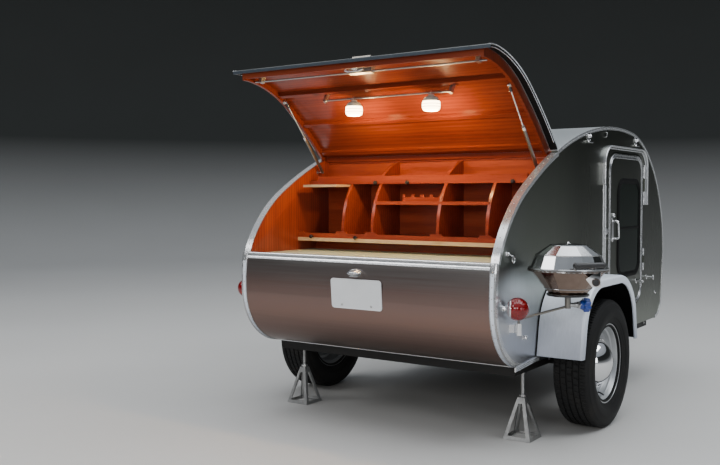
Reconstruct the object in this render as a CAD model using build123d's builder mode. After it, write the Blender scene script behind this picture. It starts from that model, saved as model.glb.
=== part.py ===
from build123d import *
import math
import os

# Teardrop trailer with a rear galley under a lifting hatch.
# Millimetres. +X points to the tow vehicle, +Y to the left, +Z up, and the
# origin is the centre of the towing ball in the coupler's socket.
# Stations below are measured from the ground under the axle: x forward of
# the axle, y left of the centre line, z above the ground.

# Whole vehicle
BALL_X = 2700          # axle to the ball's centre
BALL_Z = 452           # ball's centre above the ground
BODY_HALF = 762        # half the body's width
FLOOR_Z = 385          # underside of the body
WALL = 38              # side wall and door thickness
SKIN = 4               # outer aluminium sheet over the roof and rear panel
SHELL = 30             # whole thickness of the roof and rear panel
GAP = 5                # clearance round doors and hatch
FIT = 0.05             # radial running clearance of pins and bearings
FLOOR_T = 25           # floor board thickness

# Side outline: tangent arcs from the front of the flat bottom, forward and
# up over the roof to the rear. The last radius closes the loop.
BOTTOM_FRONT_X = 1509
OUTLINE = (
    # radius, turn in degrees
    (145, 80.6),       # front lower corner
    (3710, 3.5),       # front face
    (790, 90.0),       # nose and roof
    (2526, 37.4),      # rear slope
    (749, 28.5),       # hip
    (330, 24.0),       # turn at the counter
    (1000, 9.0),       # rear panel
)
HINGE_TURN = 201.3     # heading of the outline where the hatch is hinged
HATCH_END_TURN = 253.25  # heading at the hatch's lower edge

# Hatch, drawn closed and then turned open about its hinge
HATCH_OPEN = 66.8      # degrees from closed to open
HATCH_RISE = 8         # hatch skin's outer face above the body outline
HATCH_SKIN = 5
SEAL_T = 8
SEAL_W = 36
LINING_T = 18          # insulation and inner plywood together
RIB_T = 16             # side ribs, across the width
RIB_DEPTH = 48         # side ribs, in from the skin
CROSS_RIB_DEPTH = 39
CROSS_RIB_T = 24
HINGE_R = 5            # hinge barrel

# Wheels
WHEEL_R = 334
TYRE_W = 205
TREAD_W = 168
TRACK_HALF = BODY_HALF + 124   # wheel centre plane from the centre line
RIM_R = 190            # bead seat
FLANGE_R = 207
RIM_W = 152
SPINDLE_R = 17
HUB_R = 58


def corner_arcs():
    """Each outline arc as (first heading, last heading, centre x, centre z, radius)."""
    rows = [(radius, math.radians(turn)) for radius, turn in OUTLINE]
    heading = 0.0
    climb = 0.0
    for radius, turn in rows:
        climb += radius * (math.cos(heading) - math.cos(heading + turn))
        heading += turn
    rows.append((climb / (1 - math.cos(heading)), 2 * math.pi - heading))
    arcs = []
    x, z, heading = BOTTOM_FRONT_X, FLOOR_Z, 0.0
    for radius, turn in rows:
        cx = x - radius * math.sin(heading)
        cz = z + radius * math.cos(heading)
        arcs.append((math.degrees(heading), math.degrees(heading + turn), cx, cz, radius))
        heading += turn
        x = cx + radius * math.sin(heading)
        z = cz - radius * math.cos(heading)
    return arcs


ARCS = corner_arcs()


def edge(turn, inset=0):
    """Point of the outline at a heading, moved in by inset."""
    for first, last, cx, cz, radius in ARCS:
        if turn <= last + 1e-9:
            angle = math.radians(turn)
            return (cx + (radius - inset) * math.sin(angle), cz - (radius - inset) * math.cos(angle))


def turn_for(length, turn):
    """Degrees of heading that a length takes along the outline near a heading."""
    for first, last, cx, cz, radius in ARCS:
        if turn <= last:
            return math.degrees(length / radius)


def clipped(start, end):
    """The outline's arcs between two headings."""
    pieces = []
    for first, last, cx, cz, radius in ARCS:
        low, high = max(first, start), min(last, end)
        if high - low > 1e-6:
            pieces.append((low, high, cx, cz, radius))
    return pieces


def band(start, end, outer, inner):
    """Face between two insets of the outline, from one heading to another."""
    with BuildSketch(mode=Mode.PRIVATE) as shape:
        with BuildLine():
            for low, high, cx, cz, radius in clipped(start, end):
                CenterArc((cx, cz), radius - outer, low - 90, high - low)
                CenterArc((cx, cz), radius - inner, low - 90, high - low)
            Line(edge(start, outer), edge(start, inner))
            Line(edge(end, outer), edge(end, inner))
        make_face()
    return shape.sketch


def whole(inset):
    """Face of the whole side outline, moved in by inset."""
    with BuildSketch(mode=Mode.PRIVATE) as shape:
        with BuildLine():
            for low, high, cx, cz, radius in clipped(0, 360):
                CenterArc((cx, cz), radius - inset, low - 90, high - low)
            Line(edge(360, inset), edge(0, inset))
        make_face()
    return shape.sketch


STATION = Location((-BALL_X, 0, -BALL_Z))
HINGE_X, HINGE_Z = edge(HINGE_TURN, -HATCH_RISE + SEAL_T - 6)
OPENED = STATION * Pos(HINGE_X, 0, HINGE_Z) * Rot(0, HATCH_OPEN, 0) * Pos(-HINGE_X, 0, -HINGE_Z)


def side(y, base=STATION):
    """Upright plane across the trailer at y: sketch x forward, sketch y up, normal to the right."""
    return Plane(base * Location((0, y, 0), (90, 0, 0)))


def level(z, base=STATION):
    """Level plane at height z: sketch x forward, sketch y left."""
    return Plane(base * Location((0, 0, z)))


def across(x):
    """Upright plane at x that faces forward: sketch x to the left, sketch y up."""
    return Plane(origin=STATION.position + Vector(x, 0, 0), x_dir=(0, 1, 0), z_dir=(1, 0, 0))


def save_pair(right, name):
    """Writes a right-hand piece and its mirrored left-hand twin."""
    with BuildPart() as left:
        mirror(right.part, about=Plane.XZ)
    for part, label in ((right.part, f"{name}_right"), (left.part, f"{name}_left")):
        part.label = label
        export_step(part, f"parts/{label}.step")


os.makedirs("parts", exist_ok=True)
INNER_HALF = BODY_HALF - WALL

# Side walls, with the door opening and the lowered galley edge
HATCH_SEAT = -HATCH_RISE + HATCH_SKIN + SEAL_T + GAP
TRIM_T = 3
PANEL_TURN = HATCH_END_TURN + turn_for(GAP + 1, HATCH_END_TURN)
DOOR_X, DOOR_Z = 890, 995
DOOR_W, DOOR_H, DOOR_CORNER = 640, 930, 112
with BuildPart() as side_wall:
    with BuildSketch(side(-INNER_HALF)):
        add(whole(SKIN))
        add(band(HINGE_TURN, PANEL_TURN, 0, HATCH_SEAT + TRIM_T), mode=Mode.SUBTRACT)
        with Locations((DOOR_X, DOOR_Z)):
            RectangleRounded(DOOR_W + 2 * GAP, DOOR_H + 2 * GAP, DOOR_CORNER + GAP, mode=Mode.SUBTRACT)
    extrude(amount=WALL)
save_pair(side_wall, "side_wall")

# Roof and front, one bent shell from the floor's front edge to the hatch hinge
with BuildPart() as roof_shell:
    with BuildSketch(side(BODY_HALF)):
        add(band(0, HINGE_TURN, 0, SKIN))
    extrude(amount=2 * BODY_HALF)
    with BuildSketch(side(INNER_HALF)):
        add(band(0, HINGE_TURN, SKIN, SHELL))
    extrude(amount=2 * INNER_HALF)
roof_shell.part.label = "roof_shell"
export_step(roof_shell.part, "parts/roof_shell.step")

# Rear panel below the hatch
with BuildPart() as rear_panel:
    with BuildSketch(side(BODY_HALF)):
        add(band(PANEL_TURN, 360, 0, SKIN))
    extrude(amount=2 * BODY_HALF)
    with BuildSketch(side(INNER_HALF)):
        add(band(PANEL_TURN, 360, SKIN, SHELL))
    extrude(amount=2 * INNER_HALF)
rear_panel.part.label = "rear_panel"
export_step(rear_panel.part, "parts/rear_panel.step")

# Bright edge moulding along each side, with the cap on the galley edge
TRIM_W = 20
TRIM_OUT = 2
with BuildPart() as edge_trims:
    with BuildSketch(side(-BODY_HALF)):
        add(band(0, HINGE_TURN, 0, TRIM_W))
        add(band(HINGE_TURN, PANEL_TURN, HATCH_SEAT, HATCH_SEAT + TRIM_W))
        add(band(PANEL_TURN, 360, 0, TRIM_W))
    extrude(amount=TRIM_OUT)
    with BuildSketch(side(-INNER_HALF)):
        add(band(HINGE_TURN, PANEL_TURN, HATCH_SEAT, HATCH_SEAT + TRIM_T))
    extrude(amount=WALL)
    mirror(about=Plane.XZ)
edge_trims.part.label = "edge_trims"
export_step(edge_trims.part, "parts/edge_trims.step")

# Floor board between the walls
FLOOR_REAR_X = edge(360)[0]
BODY_TOP = edge(180)[1]
with BuildPart() as floor_board:
    with BuildSketch(level(FLOOR_Z)):
        with Locations(((BOTTOM_FRONT_X + FLOOR_REAR_X) / 2, 0)):
            Rectangle(BOTTOM_FRONT_X - FLOOR_REAR_X, 2 * INNER_HALF)
    extrude(amount=FLOOR_T)
floor_board.part.label = "floor_board"
export_step(floor_board.part, "parts/floor_board.step")

# Bulkhead between the cabin and the galley
BULKHEAD_X = -168      # face seen from the galley
BULKHEAD_T = 12
with BuildPart() as bulkhead:
    with BuildSketch(side(INNER_HALF)):
        add(whole(SHELL))
        with Locations((BULKHEAD_X + BULKHEAD_T / 2, FLOOR_Z + FLOOR_T + BODY_TOP / 2)):
            Rectangle(BULKHEAD_T, BODY_TOP, mode=Mode.INTERSECT)
    extrude(amount=2 * INNER_HALF)
bulkhead.part.label = "bulkhead"
export_step(bulkhead.part, "parts/bulkhead.step")

# Galley counter, from the rear panel to the bulkhead
COUNTER_Z = 892        # top
COUNTER_T = 20
with BuildPart() as counter:
    with BuildSketch(side(INNER_HALF)):
        add(whole(SHELL))
        with Locations((BULKHEAD_X - BODY_TOP / 2, COUNTER_Z - COUNTER_T / 2)):
            Rectangle(BODY_TOP, COUNTER_T, mode=Mode.INTERSECT)
    extrude(amount=2 * INNER_HALF)
counter.part.label = "counter"
export_step(counter.part, "parts/counter.step")

# Cubby unit: floor, lip, dividers with curved fronts and middle shelf
BOARD = 18
CUBBY_FLOOR_Z = 984    # top of the unit's floor
CUBBY_FRONT_X = -460
SHELF_Z = 1272         # underside of the upper shelf
SHELF_FRONT_X = -353
MID_SHELF_Z = 1175
LIP = 20
LIP_DIP = 12
LIP_SHOULDER = 34
RACK_X = -392         # spice rack in the middle bay
RACK_Y = 52
RACK_H = 38
RACK_T = 10
RACK_PITCH = 58
DIVIDERS = (418, 219, -196, -484)   # y of each divider's middle
with BuildPart() as cubby_unit:
    with BuildSketch(side(INNER_HALF)):
        with BuildLine():
            Polyline(
                (BULKHEAD_X, CUBBY_FLOOR_Z - BOARD), (CUBBY_FRONT_X, CUBBY_FLOOR_Z - BOARD),
                (CUBBY_FRONT_X, CUBBY_FLOOR_Z + LIP), (CUBBY_FRONT_X + BOARD / 1.5, CUBBY_FLOOR_Z + LIP),
                (CUBBY_FRONT_X + BOARD / 1.5, CUBBY_FLOOR_Z), (BULKHEAD_X, CUBBY_FLOOR_Z),
                close=True,
            )
        make_face()
    extrude(amount=2 * INNER_HALF)
    for divider_y in DIVIDERS:
        with BuildSketch(side(divider_y + BOARD / 2)):
            with BuildLine():
                front = ThreePointArc(
                    (CUBBY_FRONT_X + BOARD, CUBBY_FLOOR_Z - 1),
                    (CUBBY_FRONT_X + 34, (CUBBY_FLOOR_Z + SHELF_Z) / 2),
                    (SHELF_FRONT_X + 4, SHELF_Z),
                )
                Polyline(front @ 1, (BULKHEAD_X, SHELF_Z), (BULKHEAD_X, CUBBY_FLOOR_Z - 1), front @ 0)
            make_face()
        extrude(amount=BOARD)
    with BuildSketch(side(DIVIDERS[1])):
        with Locations(((BULKHEAD_X + SHELF_FRONT_X - 62) / 2, MID_SHELF_Z - BOARD / 2)):
            Rectangle(BULKHEAD_X - SHELF_FRONT_X + 62, BOARD)
    extrude(amount=DIVIDERS[1] - DIVIDERS[3])
    bay_ends = (INNER_HALF,) + DIVIDERS + (-INNER_HALF,)
    with BuildSketch(across(CUBBY_FRONT_X - 1)):
        for high_y, low_y in zip(bay_ends, bay_ends[1:]):
            with Locations(((high_y + low_y) / 2, CUBBY_FLOOR_Z + LIP)):
                RectangleRounded(high_y - low_y - 2 * LIP_SHOULDER, 2 * LIP_DIP, LIP_DIP - 1)
    extrude(amount=BOARD, mode=Mode.SUBTRACT)
    with BuildSketch(across(RACK_X)):
        with Locations(((RACK_Y + DIVIDERS[2]) / 2, MID_SHELF_Z + RACK_H / 2 - 1)):
            Rectangle(RACK_Y - DIVIDERS[2], RACK_H + 2)
        rack_slots = [(RACK_Y - RACK_PITCH * (slot + 0.6), MID_SHELF_Z + RACK_H + 4) for slot in range(4)]
        with Locations(*rack_slots):
            RectangleRounded(RACK_PITCH - 18, 40, 8, mode=Mode.SUBTRACT)
    extrude(amount=RACK_T)
cubby_unit.part.label = "cubby_unit"
export_step(cubby_unit.part, "parts/cubby_unit.step")

# Upper shelf with its deep front board and two fins
FASCIA = 46
FASCIA_NOTCH_W = 60    # room for the folded struts at both ends
FASCIA_NOTCH_H = 24
FIN_Y = (DIVIDERS[1], DIVIDERS[2])
FIN_MID_X, FIN_MID_RISE = 105, 54
FIN_RISE = 84
with BuildPart() as upper_shelf:
    with BuildSketch(side(INNER_HALF)):
        with BuildLine():
            Polyline(
                (BULKHEAD_X, SHELF_Z), (SHELF_FRONT_X, SHELF_Z), (SHELF_FRONT_X, SHELF_Z + FASCIA),
                (SHELF_FRONT_X + BOARD, SHELF_Z + FASCIA), (SHELF_FRONT_X + BOARD, SHELF_Z + BOARD),
                (BULKHEAD_X, SHELF_Z + BOARD), close=True,
            )
        make_face()
    extrude(amount=2 * INNER_HALF)
    for notch_y in (INNER_HALF, -INNER_HALF + FASCIA_NOTCH_W):
        with BuildSketch(side(notch_y)):
            with Locations((SHELF_FRONT_X + BOARD / 2, SHELF_Z + FASCIA - FASCIA_NOTCH_H / 2)):
                Rectangle(BOARD, FASCIA_NOTCH_H)
        extrude(amount=FASCIA_NOTCH_W, mode=Mode.SUBTRACT)
    for fin_y in FIN_Y:
        with BuildSketch(side(fin_y + BOARD / 2)):
            with BuildLine():
                curve = ThreePointArc(
                    (SHELF_FRONT_X + BOARD, SHELF_Z + FASCIA), (SHELF_FRONT_X + FIN_MID_X, SHELF_Z + FASCIA + FIN_MID_RISE),
                    (BULKHEAD_X, SHELF_Z + FASCIA + FIN_RISE),
                )
                fin_low = SHELF_Z + 2
                Polyline(curve @ 1, (BULKHEAD_X, fin_low), (SHELF_FRONT_X + BOARD, fin_low), curve @ 0)
            make_face()
        extrude(amount=BOARD)
upper_shelf.part.label = "upper_shelf"
export_step(upper_shelf.part, "parts/upper_shelf.step")

# Boards under the cubby unit: pull-out board and set-back riser
PULL_OUT_T = 20
RISER_X = -300
with BuildPart() as pull_out_board:
    with BuildSketch(level(CUBBY_FLOOR_Z - BOARD - PULL_OUT_T)):
        with Locations(((RISER_X + CUBBY_FRONT_X - 8) / 2, 0)):
            Rectangle(RISER_X - CUBBY_FRONT_X + 8, 2 * INNER_HALF - 2)
    extrude(amount=PULL_OUT_T)
pull_out_board.part.label = "pull_out_board"
export_step(pull_out_board.part, "parts/pull_out_board.step")

with BuildPart() as galley_riser:
    with BuildSketch(side(INNER_HALF)):
        with Locations((RISER_X + BOARD / 2, (COUNTER_Z + CUBBY_FLOOR_Z - BOARD) / 2)):
            Rectangle(BOARD, CUBBY_FLOOR_Z - BOARD - COUNTER_Z)
    extrude(amount=2 * INNER_HALF)
galley_riser.part.label = "galley_riser"
export_step(galley_riser.part, "parts/galley_riser.step")

# Hatch: skin, seal, lining and ribs
HATCH_START = HINGE_TURN + turn_for(HINGE_R + 1, HINGE_TURN)
SKIN_IN = -HATCH_RISE + HATCH_SKIN
with BuildPart() as hatch_skin:
    with BuildSketch(side(BODY_HALF, OPENED)):
        add(band(HATCH_START, HATCH_END_TURN, -HATCH_RISE, SKIN_IN))
    extrude(amount=2 * BODY_HALF)
hatch_skin.part.label = "hatch_skin"
export_step(hatch_skin.part, "parts/hatch_skin.step")

SEAL_END = HATCH_END_TURN - turn_for(22, HATCH_END_TURN)
with BuildPart() as hatch_seal:
    for seal_y in (BODY_HALF, -BODY_HALF + SEAL_W):
        with BuildSketch(side(seal_y, OPENED)):
            add(band(HATCH_START, HATCH_END_TURN, SKIN_IN, SKIN_IN + SEAL_T))
        extrude(amount=SEAL_W)
    with BuildSketch(side(BODY_HALF, OPENED)):
        add(band(SEAL_END, HATCH_END_TURN, SKIN_IN, SKIN_IN + SEAL_T))
    extrude(amount=2 * BODY_HALF)
hatch_seal.part.label = "hatch_seal"
export_step(hatch_seal.part, "parts/hatch_seal.step")

RIB_OUT = INNER_HALF - GAP - 3
CROSS_RIBS = (202.3, 207.6, 218.9)   # heading where each cross rib starts
with BuildPart() as hatch_lining:
    with BuildSketch(side(RIB_OUT - RIB_T, OPENED)):
        add(band(HATCH_START, SEAL_END, SKIN_IN, SKIN_IN + LINING_T))
    extrude(amount=2 * (RIB_OUT - RIB_T))
hatch_lining.part.label = "hatch_lining"
export_step(hatch_lining.part, "parts/hatch_lining.step")

with BuildPart() as hatch_ribs:
    for rib_y in (RIB_OUT, -RIB_OUT + RIB_T):
        with BuildSketch(side(rib_y, OPENED)):
            add(band(HATCH_START, SEAL_END, SKIN_IN, SKIN_IN + RIB_DEPTH))
        extrude(amount=RIB_T)
    for rib_turn in CROSS_RIBS + (SEAL_END - turn_for(CROSS_RIB_T, HATCH_END_TURN),):
        with BuildSketch(side(RIB_OUT - RIB_T, OPENED)):
            rib_end = rib_turn + turn_for(CROSS_RIB_T, rib_turn)
            add(band(rib_turn, rib_end, SKIN_IN + LINING_T, SKIN_IN + CROSS_RIB_DEPTH))
        extrude(amount=2 * (RIB_OUT - RIB_T))
hatch_ribs.part.label = "hatch_ribs"
export_step(hatch_ribs.part, "parts/hatch_ribs.step")

# Hatch hinge: barrel and leaf on the roof
LEAF_T = 2
LEAF_W = 40
with BuildPart() as hatch_hinge:
    with BuildSketch(side(BODY_HALF - 2)):
        with Locations((HINGE_X, HINGE_Z)):
            Circle(HINGE_R)
        add(band(HINGE_TURN - turn_for(LEAF_W, HINGE_TURN), HINGE_TURN, -LEAF_T, 0))
    extrude(amount=2 * BODY_HALF - 4)
hatch_hinge.part.label = "hatch_hinge"
export_step(hatch_hinge.part, "parts/hatch_hinge.step")

# Gas struts: cylinder on a wall stud, rod on a stud of the side rib
STRUT_Y = INNER_HALF - 40
STRUT_LOW = edge(203.8, 56)            # pin on the wall
STRUT_HIGH = edge(216.1, 36)           # pin on the rib, hatch closed
CYLINDER_R = 9
ROD_R = 4
STUD_R = 4
EYE_R = 9
EYE_W = 10
STUD_END = 3
CYLINDER_L = 262


def turned(point, degrees):
    """Point of the side view turned about the hatch hinge, opening counted as positive."""
    angle = math.radians(degrees)
    x, z = point[0] - HINGE_X, point[1] - HINGE_Z
    away, up = math.cos(angle), math.sin(angle)
    return (HINGE_X + x * away + z * up, HINGE_Z - x * up + z * away)


STRUT_TOP = turned(STRUT_HIGH, HATCH_OPEN)
STRUT_L = math.dist(STRUT_LOW, STRUT_TOP)
STRUT_STROKE = STRUT_L - math.dist(STRUT_LOW, STRUT_HIGH)
CYLINDER_FLOOR = 14
ROD_START = EYE_R - 1 + CYLINDER_FLOOR + STRUT_STROKE + 10
STRUT_LEAN = math.degrees(math.atan2(STRUT_TOP[1] - STRUT_LOW[1], STRUT_TOP[0] - STRUT_LOW[0]))
STRUT = STATION * Location((STRUT_LOW[0], -STRUT_Y, STRUT_LOW[1]), (0, 90 - STRUT_LEAN, 0))
with BuildPart() as strut_cylinders:
    with BuildSketch(Plane(STRUT * Pos(0, 0, EYE_R - 1))):
        Circle(CYLINDER_R)
        Circle(ROD_R + FIT, mode=Mode.SUBTRACT)
    extrude(amount=CYLINDER_L)
    with BuildSketch(Plane(STRUT * Location((0, EYE_W / 2, 0), (90, 0, 0)))):
        Circle(EYE_R)
        Circle(STUD_R + FIT, mode=Mode.SUBTRACT)
    extrude(amount=EYE_W)
    with BuildSketch(Plane(STRUT * Pos(0, 0, EYE_R - 1))):
        Circle(CYLINDER_R)
    extrude(amount=CYLINDER_FLOOR)
    mirror(about=Plane.XZ)
strut_cylinders.part.label = "strut_cylinders"
export_step(strut_cylinders.part, "parts/strut_cylinders.step")

with BuildPart() as strut_rods:
    with BuildSketch(Plane(STRUT * Pos(0, 0, ROD_START))):
        Circle(ROD_R)
    extrude(amount=STRUT_L - ROD_START - EYE_R + 1)
    with BuildSketch(Plane(STRUT * Location((0, EYE_W / 2, STRUT_L), (90, 0, 0)))):
        Circle(EYE_R)
    extrude(amount=EYE_W)
    with BuildSketch(Plane(STRUT * Location((0, EYE_W / 2 + STUD_END, STRUT_L), (90, 0, 0)))):
        Circle(STUD_R)
    extrude(amount=STUD_END + 1)
    mirror(about=Plane.XZ)
strut_rods.part.label = "strut_rods"
export_step(strut_rods.part, "parts/strut_rods.step")

with BuildPart() as strut_studs_low:
    with BuildSketch(side(-INNER_HALF)):
        with Locations(STRUT_LOW):
            Circle(STUD_R)
    extrude(amount=-(INNER_HALF - STRUT_Y + EYE_W / 2 + STUD_END))
    with BuildSketch(side(-INNER_HALF)):
        with Locations(STRUT_LOW):
            Circle(EYE_R + 3)
    extrude(amount=-TRIM_T)
    mirror(about=Plane.XZ)
strut_studs_low.part.label = "strut_studs_low"
export_step(strut_studs_low.part, "parts/strut_studs_low.step")

RIB_FACE = RIB_OUT - RIB_T
with BuildPart() as strut_studs_high:
    with BuildSketch(side(-RIB_FACE, OPENED)):
        with Locations(STRUT_HIGH):
            Circle(EYE_R + 3)
    extrude(amount=-(RIB_FACE - STRUT_Y - EYE_W / 2 - FIT))
    mirror(about=Plane.XZ)
strut_studs_high.part.label = "strut_studs_high"
export_step(strut_studs_high.part, "parts/strut_studs_high.step")

# Doors, windows, handles and hinges
WINDOW_X, WINDOW_Z = 943, 1010
WINDOW_W, WINDOW_H, WINDOW_CORNER = 432, 607, 96
FRAME_W = 26
FRAME_OUT = 5
GLASS_T = 5
DOOR_PIN_X = DOOR_X + DOOR_W / 2 + GAP / 2
DOOR_PIN_Y = BODY_HALF + 7
DOOR_PIN_R = 3
BARREL_R = 6
KNUCKLE_GAP = 0.5
DOOR_LEAF_W = 32
DOOR_HINGES = ((1275, 250), (800, 140))   # middle height, length
with BuildPart() as door:
    with BuildSketch(side(-INNER_HALF)):
        with Locations((DOOR_X, DOOR_Z)):
            RectangleRounded(DOOR_W, DOOR_H, DOOR_CORNER)
        with Locations((WINDOW_X, WINDOW_Z)):
            RectangleRounded(
                WINDOW_W - FRAME_W, WINDOW_H - FRAME_W, WINDOW_CORNER - FRAME_W / 2, mode=Mode.SUBTRACT
            )
    extrude(amount=WALL)
    for hinge_z, hinge_l in DOOR_HINGES:
        with BuildSketch(level(hinge_z - hinge_l / 6 + KNUCKLE_GAP)):
            with Locations((DOOR_PIN_X, -DOOR_PIN_Y)):
                Circle(BARREL_R)
            with Locations((DOOR_PIN_X - DOOR_LEAF_W / 2, -BODY_HALF - TRIM_T / 2)):
                Rectangle(DOOR_LEAF_W, TRIM_T)
            with Locations((DOOR_PIN_X, -DOOR_PIN_Y)):
                Circle(DOOR_PIN_R + FIT, mode=Mode.SUBTRACT)
        extrude(amount=hinge_l / 3 - 2 * KNUCKLE_GAP)
        for leaf_z in (hinge_z - hinge_l / 2, hinge_z + hinge_l / 6):
            with BuildSketch(level(leaf_z)):
                with Locations((DOOR_PIN_X - DOOR_LEAF_W / 2 - BARREL_R - 1, -BODY_HALF - TRIM_T / 2)):
                    Rectangle(DOOR_LEAF_W - 2 * BARREL_R - 2, TRIM_T)
            extrude(amount=hinge_l / 3)
save_pair(door, "door")

with BuildPart() as window_frame:
    with BuildSketch(side(-BODY_HALF)):
        with Locations((WINDOW_X, WINDOW_Z)):
            RectangleRounded(WINDOW_W, WINDOW_H, WINDOW_CORNER)
            RectangleRounded(
                WINDOW_W - 2 * FRAME_W, WINDOW_H - 2 * FRAME_W, WINDOW_CORNER - FRAME_W, mode=Mode.SUBTRACT
            )
    extrude(amount=FRAME_OUT)
save_pair(window_frame, "window_frame")

with BuildPart() as window_glass:
    with BuildSketch(side(-BODY_HALF + GLASS_T)):
        with Locations((WINDOW_X, WINDOW_Z)):
            RectangleRounded(WINDOW_W - FRAME_W, WINDOW_H - FRAME_W, WINDOW_CORNER - FRAME_W / 2)
    extrude(amount=GLASS_T)
save_pair(window_glass, "window_glass")

with BuildPart() as door_hinges:
    for hinge_z, hinge_l in DOOR_HINGES:
        with BuildSketch(level(hinge_z - hinge_l / 2)):
            with Locations((DOOR_PIN_X, -DOOR_PIN_Y)):
                Circle(DOOR_PIN_R)
        extrude(amount=hinge_l)
        for knuckle_z in (hinge_z - hinge_l / 2, hinge_z + hinge_l / 6):
            with BuildSketch(level(knuckle_z)):
                with Locations((DOOR_PIN_X, -DOOR_PIN_Y)):
                    Circle(BARREL_R)
                with Locations((DOOR_PIN_X + GAP / 2 + DOOR_LEAF_W / 2, -BODY_HALF - TRIM_T / 2)):
                    Rectangle(DOOR_LEAF_W, TRIM_T)
            extrude(amount=hinge_l / 3)
    mirror(about=Plane.XZ)
door_hinges.part.label = "door_hinges"
export_step(door_hinges.part, "parts/door_hinges.step")

HANDLE_X, HANDLE_Z = 640, 1005
with BuildPart() as door_handle:
    with BuildSketch(side(-BODY_HALF)):
        with Locations((HANDLE_X, HANDLE_Z)):
            SlotOverall(104, 34, rotation=90)
    extrude(amount=4)
    with BuildSketch(side(-BODY_HALF - 3)):
        with Locations((HANDLE_X, HANDLE_Z)):
            Circle(10)
    extrude(amount=22)
    with BuildSketch(side(-BODY_HALF - 22)):
        with Locations((HANDLE_X, HANDLE_Z)):
            SlotOverall(96, 18, rotation=90)
    extrude(amount=9)
save_pair(door_handle, "door_handle")

# Drip rail arched over each door
RAIL_LEFT, RAIL_RIGHT, RAIL_TOP = 462, 1268, 1500
RAIL_LEFT_END, RAIL_RIGHT_END = 1270, 1147
RAIL_CORNER = 120
RAIL_W = 12
RAIL_OUT = 16
with BuildPart() as drip_rails:
    with BuildSketch(side(-BODY_HALF)):
        with BuildLine() as rail_line:
            FilletPolyline(
                (RAIL_LEFT, RAIL_LEFT_END), (RAIL_LEFT, RAIL_TOP),
                (RAIL_RIGHT, RAIL_TOP), (RAIL_RIGHT, RAIL_RIGHT_END),
                radius=RAIL_CORNER,
            )
            offset(amount=RAIL_W, side=Side.RIGHT)
        make_face()
    extrude(amount=RAIL_OUT)
    mirror(about=Plane.XZ)
drip_rails.part.label = "drip_rails"
export_step(drip_rails.part, "parts/drip_rails.step")

# Fenders: one bent sheet with a rolled outer face and an open arch
FENDER_Y = BODY_HALF + 238
FENDER_T = 3
FENDER_Z = 420
FENDER_TOP = 788
FENDER_REAR, FENDER_FRONT = -460, 388
FENDER_SLANT = 65
FENDER_R = 265
FENDER_ROLL = 14
LIP_W = 36
with BuildPart() as fenders:
    with BuildSketch(side(-BODY_HALF)):
        with BuildLine():
            crown = FilletPolyline(
                (FENDER_REAR, FENDER_Z), (FENDER_REAR + FENDER_SLANT, FENDER_TOP),
                (FENDER_FRONT - FENDER_SLANT, FENDER_TOP), (FENDER_FRONT, FENDER_Z), radius=FENDER_R,
            )
            Line(crown @ 1, crown @ 0)
        make_face()
    extrude(amount=FENDER_Y - BODY_HALF)
    outer_face = fenders.faces().sort_by(Axis.Y)[0]
    fillet(outer_face.edges().sort_by(Axis.Z)[1:], radius=FENDER_ROLL)
    wall_face = fenders.faces().sort_by(Axis.Y)[-1]
    under_face = fenders.faces().sort_by(Axis.Z)[0]
    offset(amount=-FENDER_T, openings=[wall_face, under_face])
    with BuildSketch(side(-FENDER_Y + FENDER_ROLL)):
        with BuildLine():
            arch = FilletPolyline(
                (FENDER_REAR + LIP_W, FENDER_Z - 1),
                (FENDER_REAR + FENDER_SLANT + LIP_W, FENDER_TOP - LIP_W),
                (FENDER_FRONT - FENDER_SLANT - LIP_W, FENDER_TOP - LIP_W),
                (FENDER_FRONT - LIP_W, FENDER_Z - 1),
                radius=FENDER_R - LIP_W,
            )
            Line(arch @ 1, arch @ 0)
        make_face()
    extrude(amount=2 * FENDER_ROLL, mode=Mode.SUBTRACT)
    mirror(about=Plane.XZ)
fenders.part.label = "fenders"
export_step(fenders.part, "parts/fenders.step")

# Chassis: side rails, cross members and the tongue
TUBE = 50
RAIL_Y = BODY_HALF - 72
FRAME_Z = FLOOR_Z - TUBE
FRAME_REAR_X = -600
FRAME_FRONT_X = 1480
with BuildPart() as frame_rails:
    with BuildSketch(level(FRAME_Z)):
        with Locations(*[((FRAME_REAR_X + FRAME_FRONT_X) / 2, rail_y) for rail_y in (RAIL_Y, -RAIL_Y)]):
            Rectangle(FRAME_FRONT_X - FRAME_REAR_X, TUBE)
    extrude(amount=TUBE)
frame_rails.part.label = "frame_rails"
export_step(frame_rails.part, "parts/frame_rails.step")

CROSS_X = (FRAME_REAR_X + TUBE / 2, 150, 815, FRAME_FRONT_X - TUBE / 2)
with BuildPart() as cross_members:
    with BuildSketch(level(FRAME_Z)):
        with Locations(*[(cross_x, 0) for cross_x in CROSS_X]):
            Rectangle(TUBE, 2 * RAIL_Y - TUBE)
    extrude(amount=TUBE)
cross_members.part.label = "cross_members"
export_step(cross_members.part, "parts/cross_members.step")

# Tongue: two tubes that meet behind the coupler, under the front cross member
TONGUE_H = 50
TONGUE_REAR_X = 815
TONGUE_REAR_Y = 400
NOSE_X = BALL_X - 190
NOSE_Y = 26
TONGUE_Z = FRAME_Z - TONGUE_H
with BuildPart() as tongue:
    with BuildSketch(level(TONGUE_Z)):
        with BuildLine():
            Polyline(
                (TONGUE_REAR_X, -TONGUE_REAR_Y - TUBE / 2),
                (NOSE_X, -NOSE_Y - TUBE / 2),
                (NOSE_X, -NOSE_Y + TUBE / 2),
                (TONGUE_REAR_X, -TONGUE_REAR_Y + TUBE / 2), close=True,
            )
        make_face()
        mirror(about=Plane.XZ)
    extrude(amount=TONGUE_H)
tongue.part.label = "tongue"
export_step(tongue.part, "parts/tongue.step")

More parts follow.
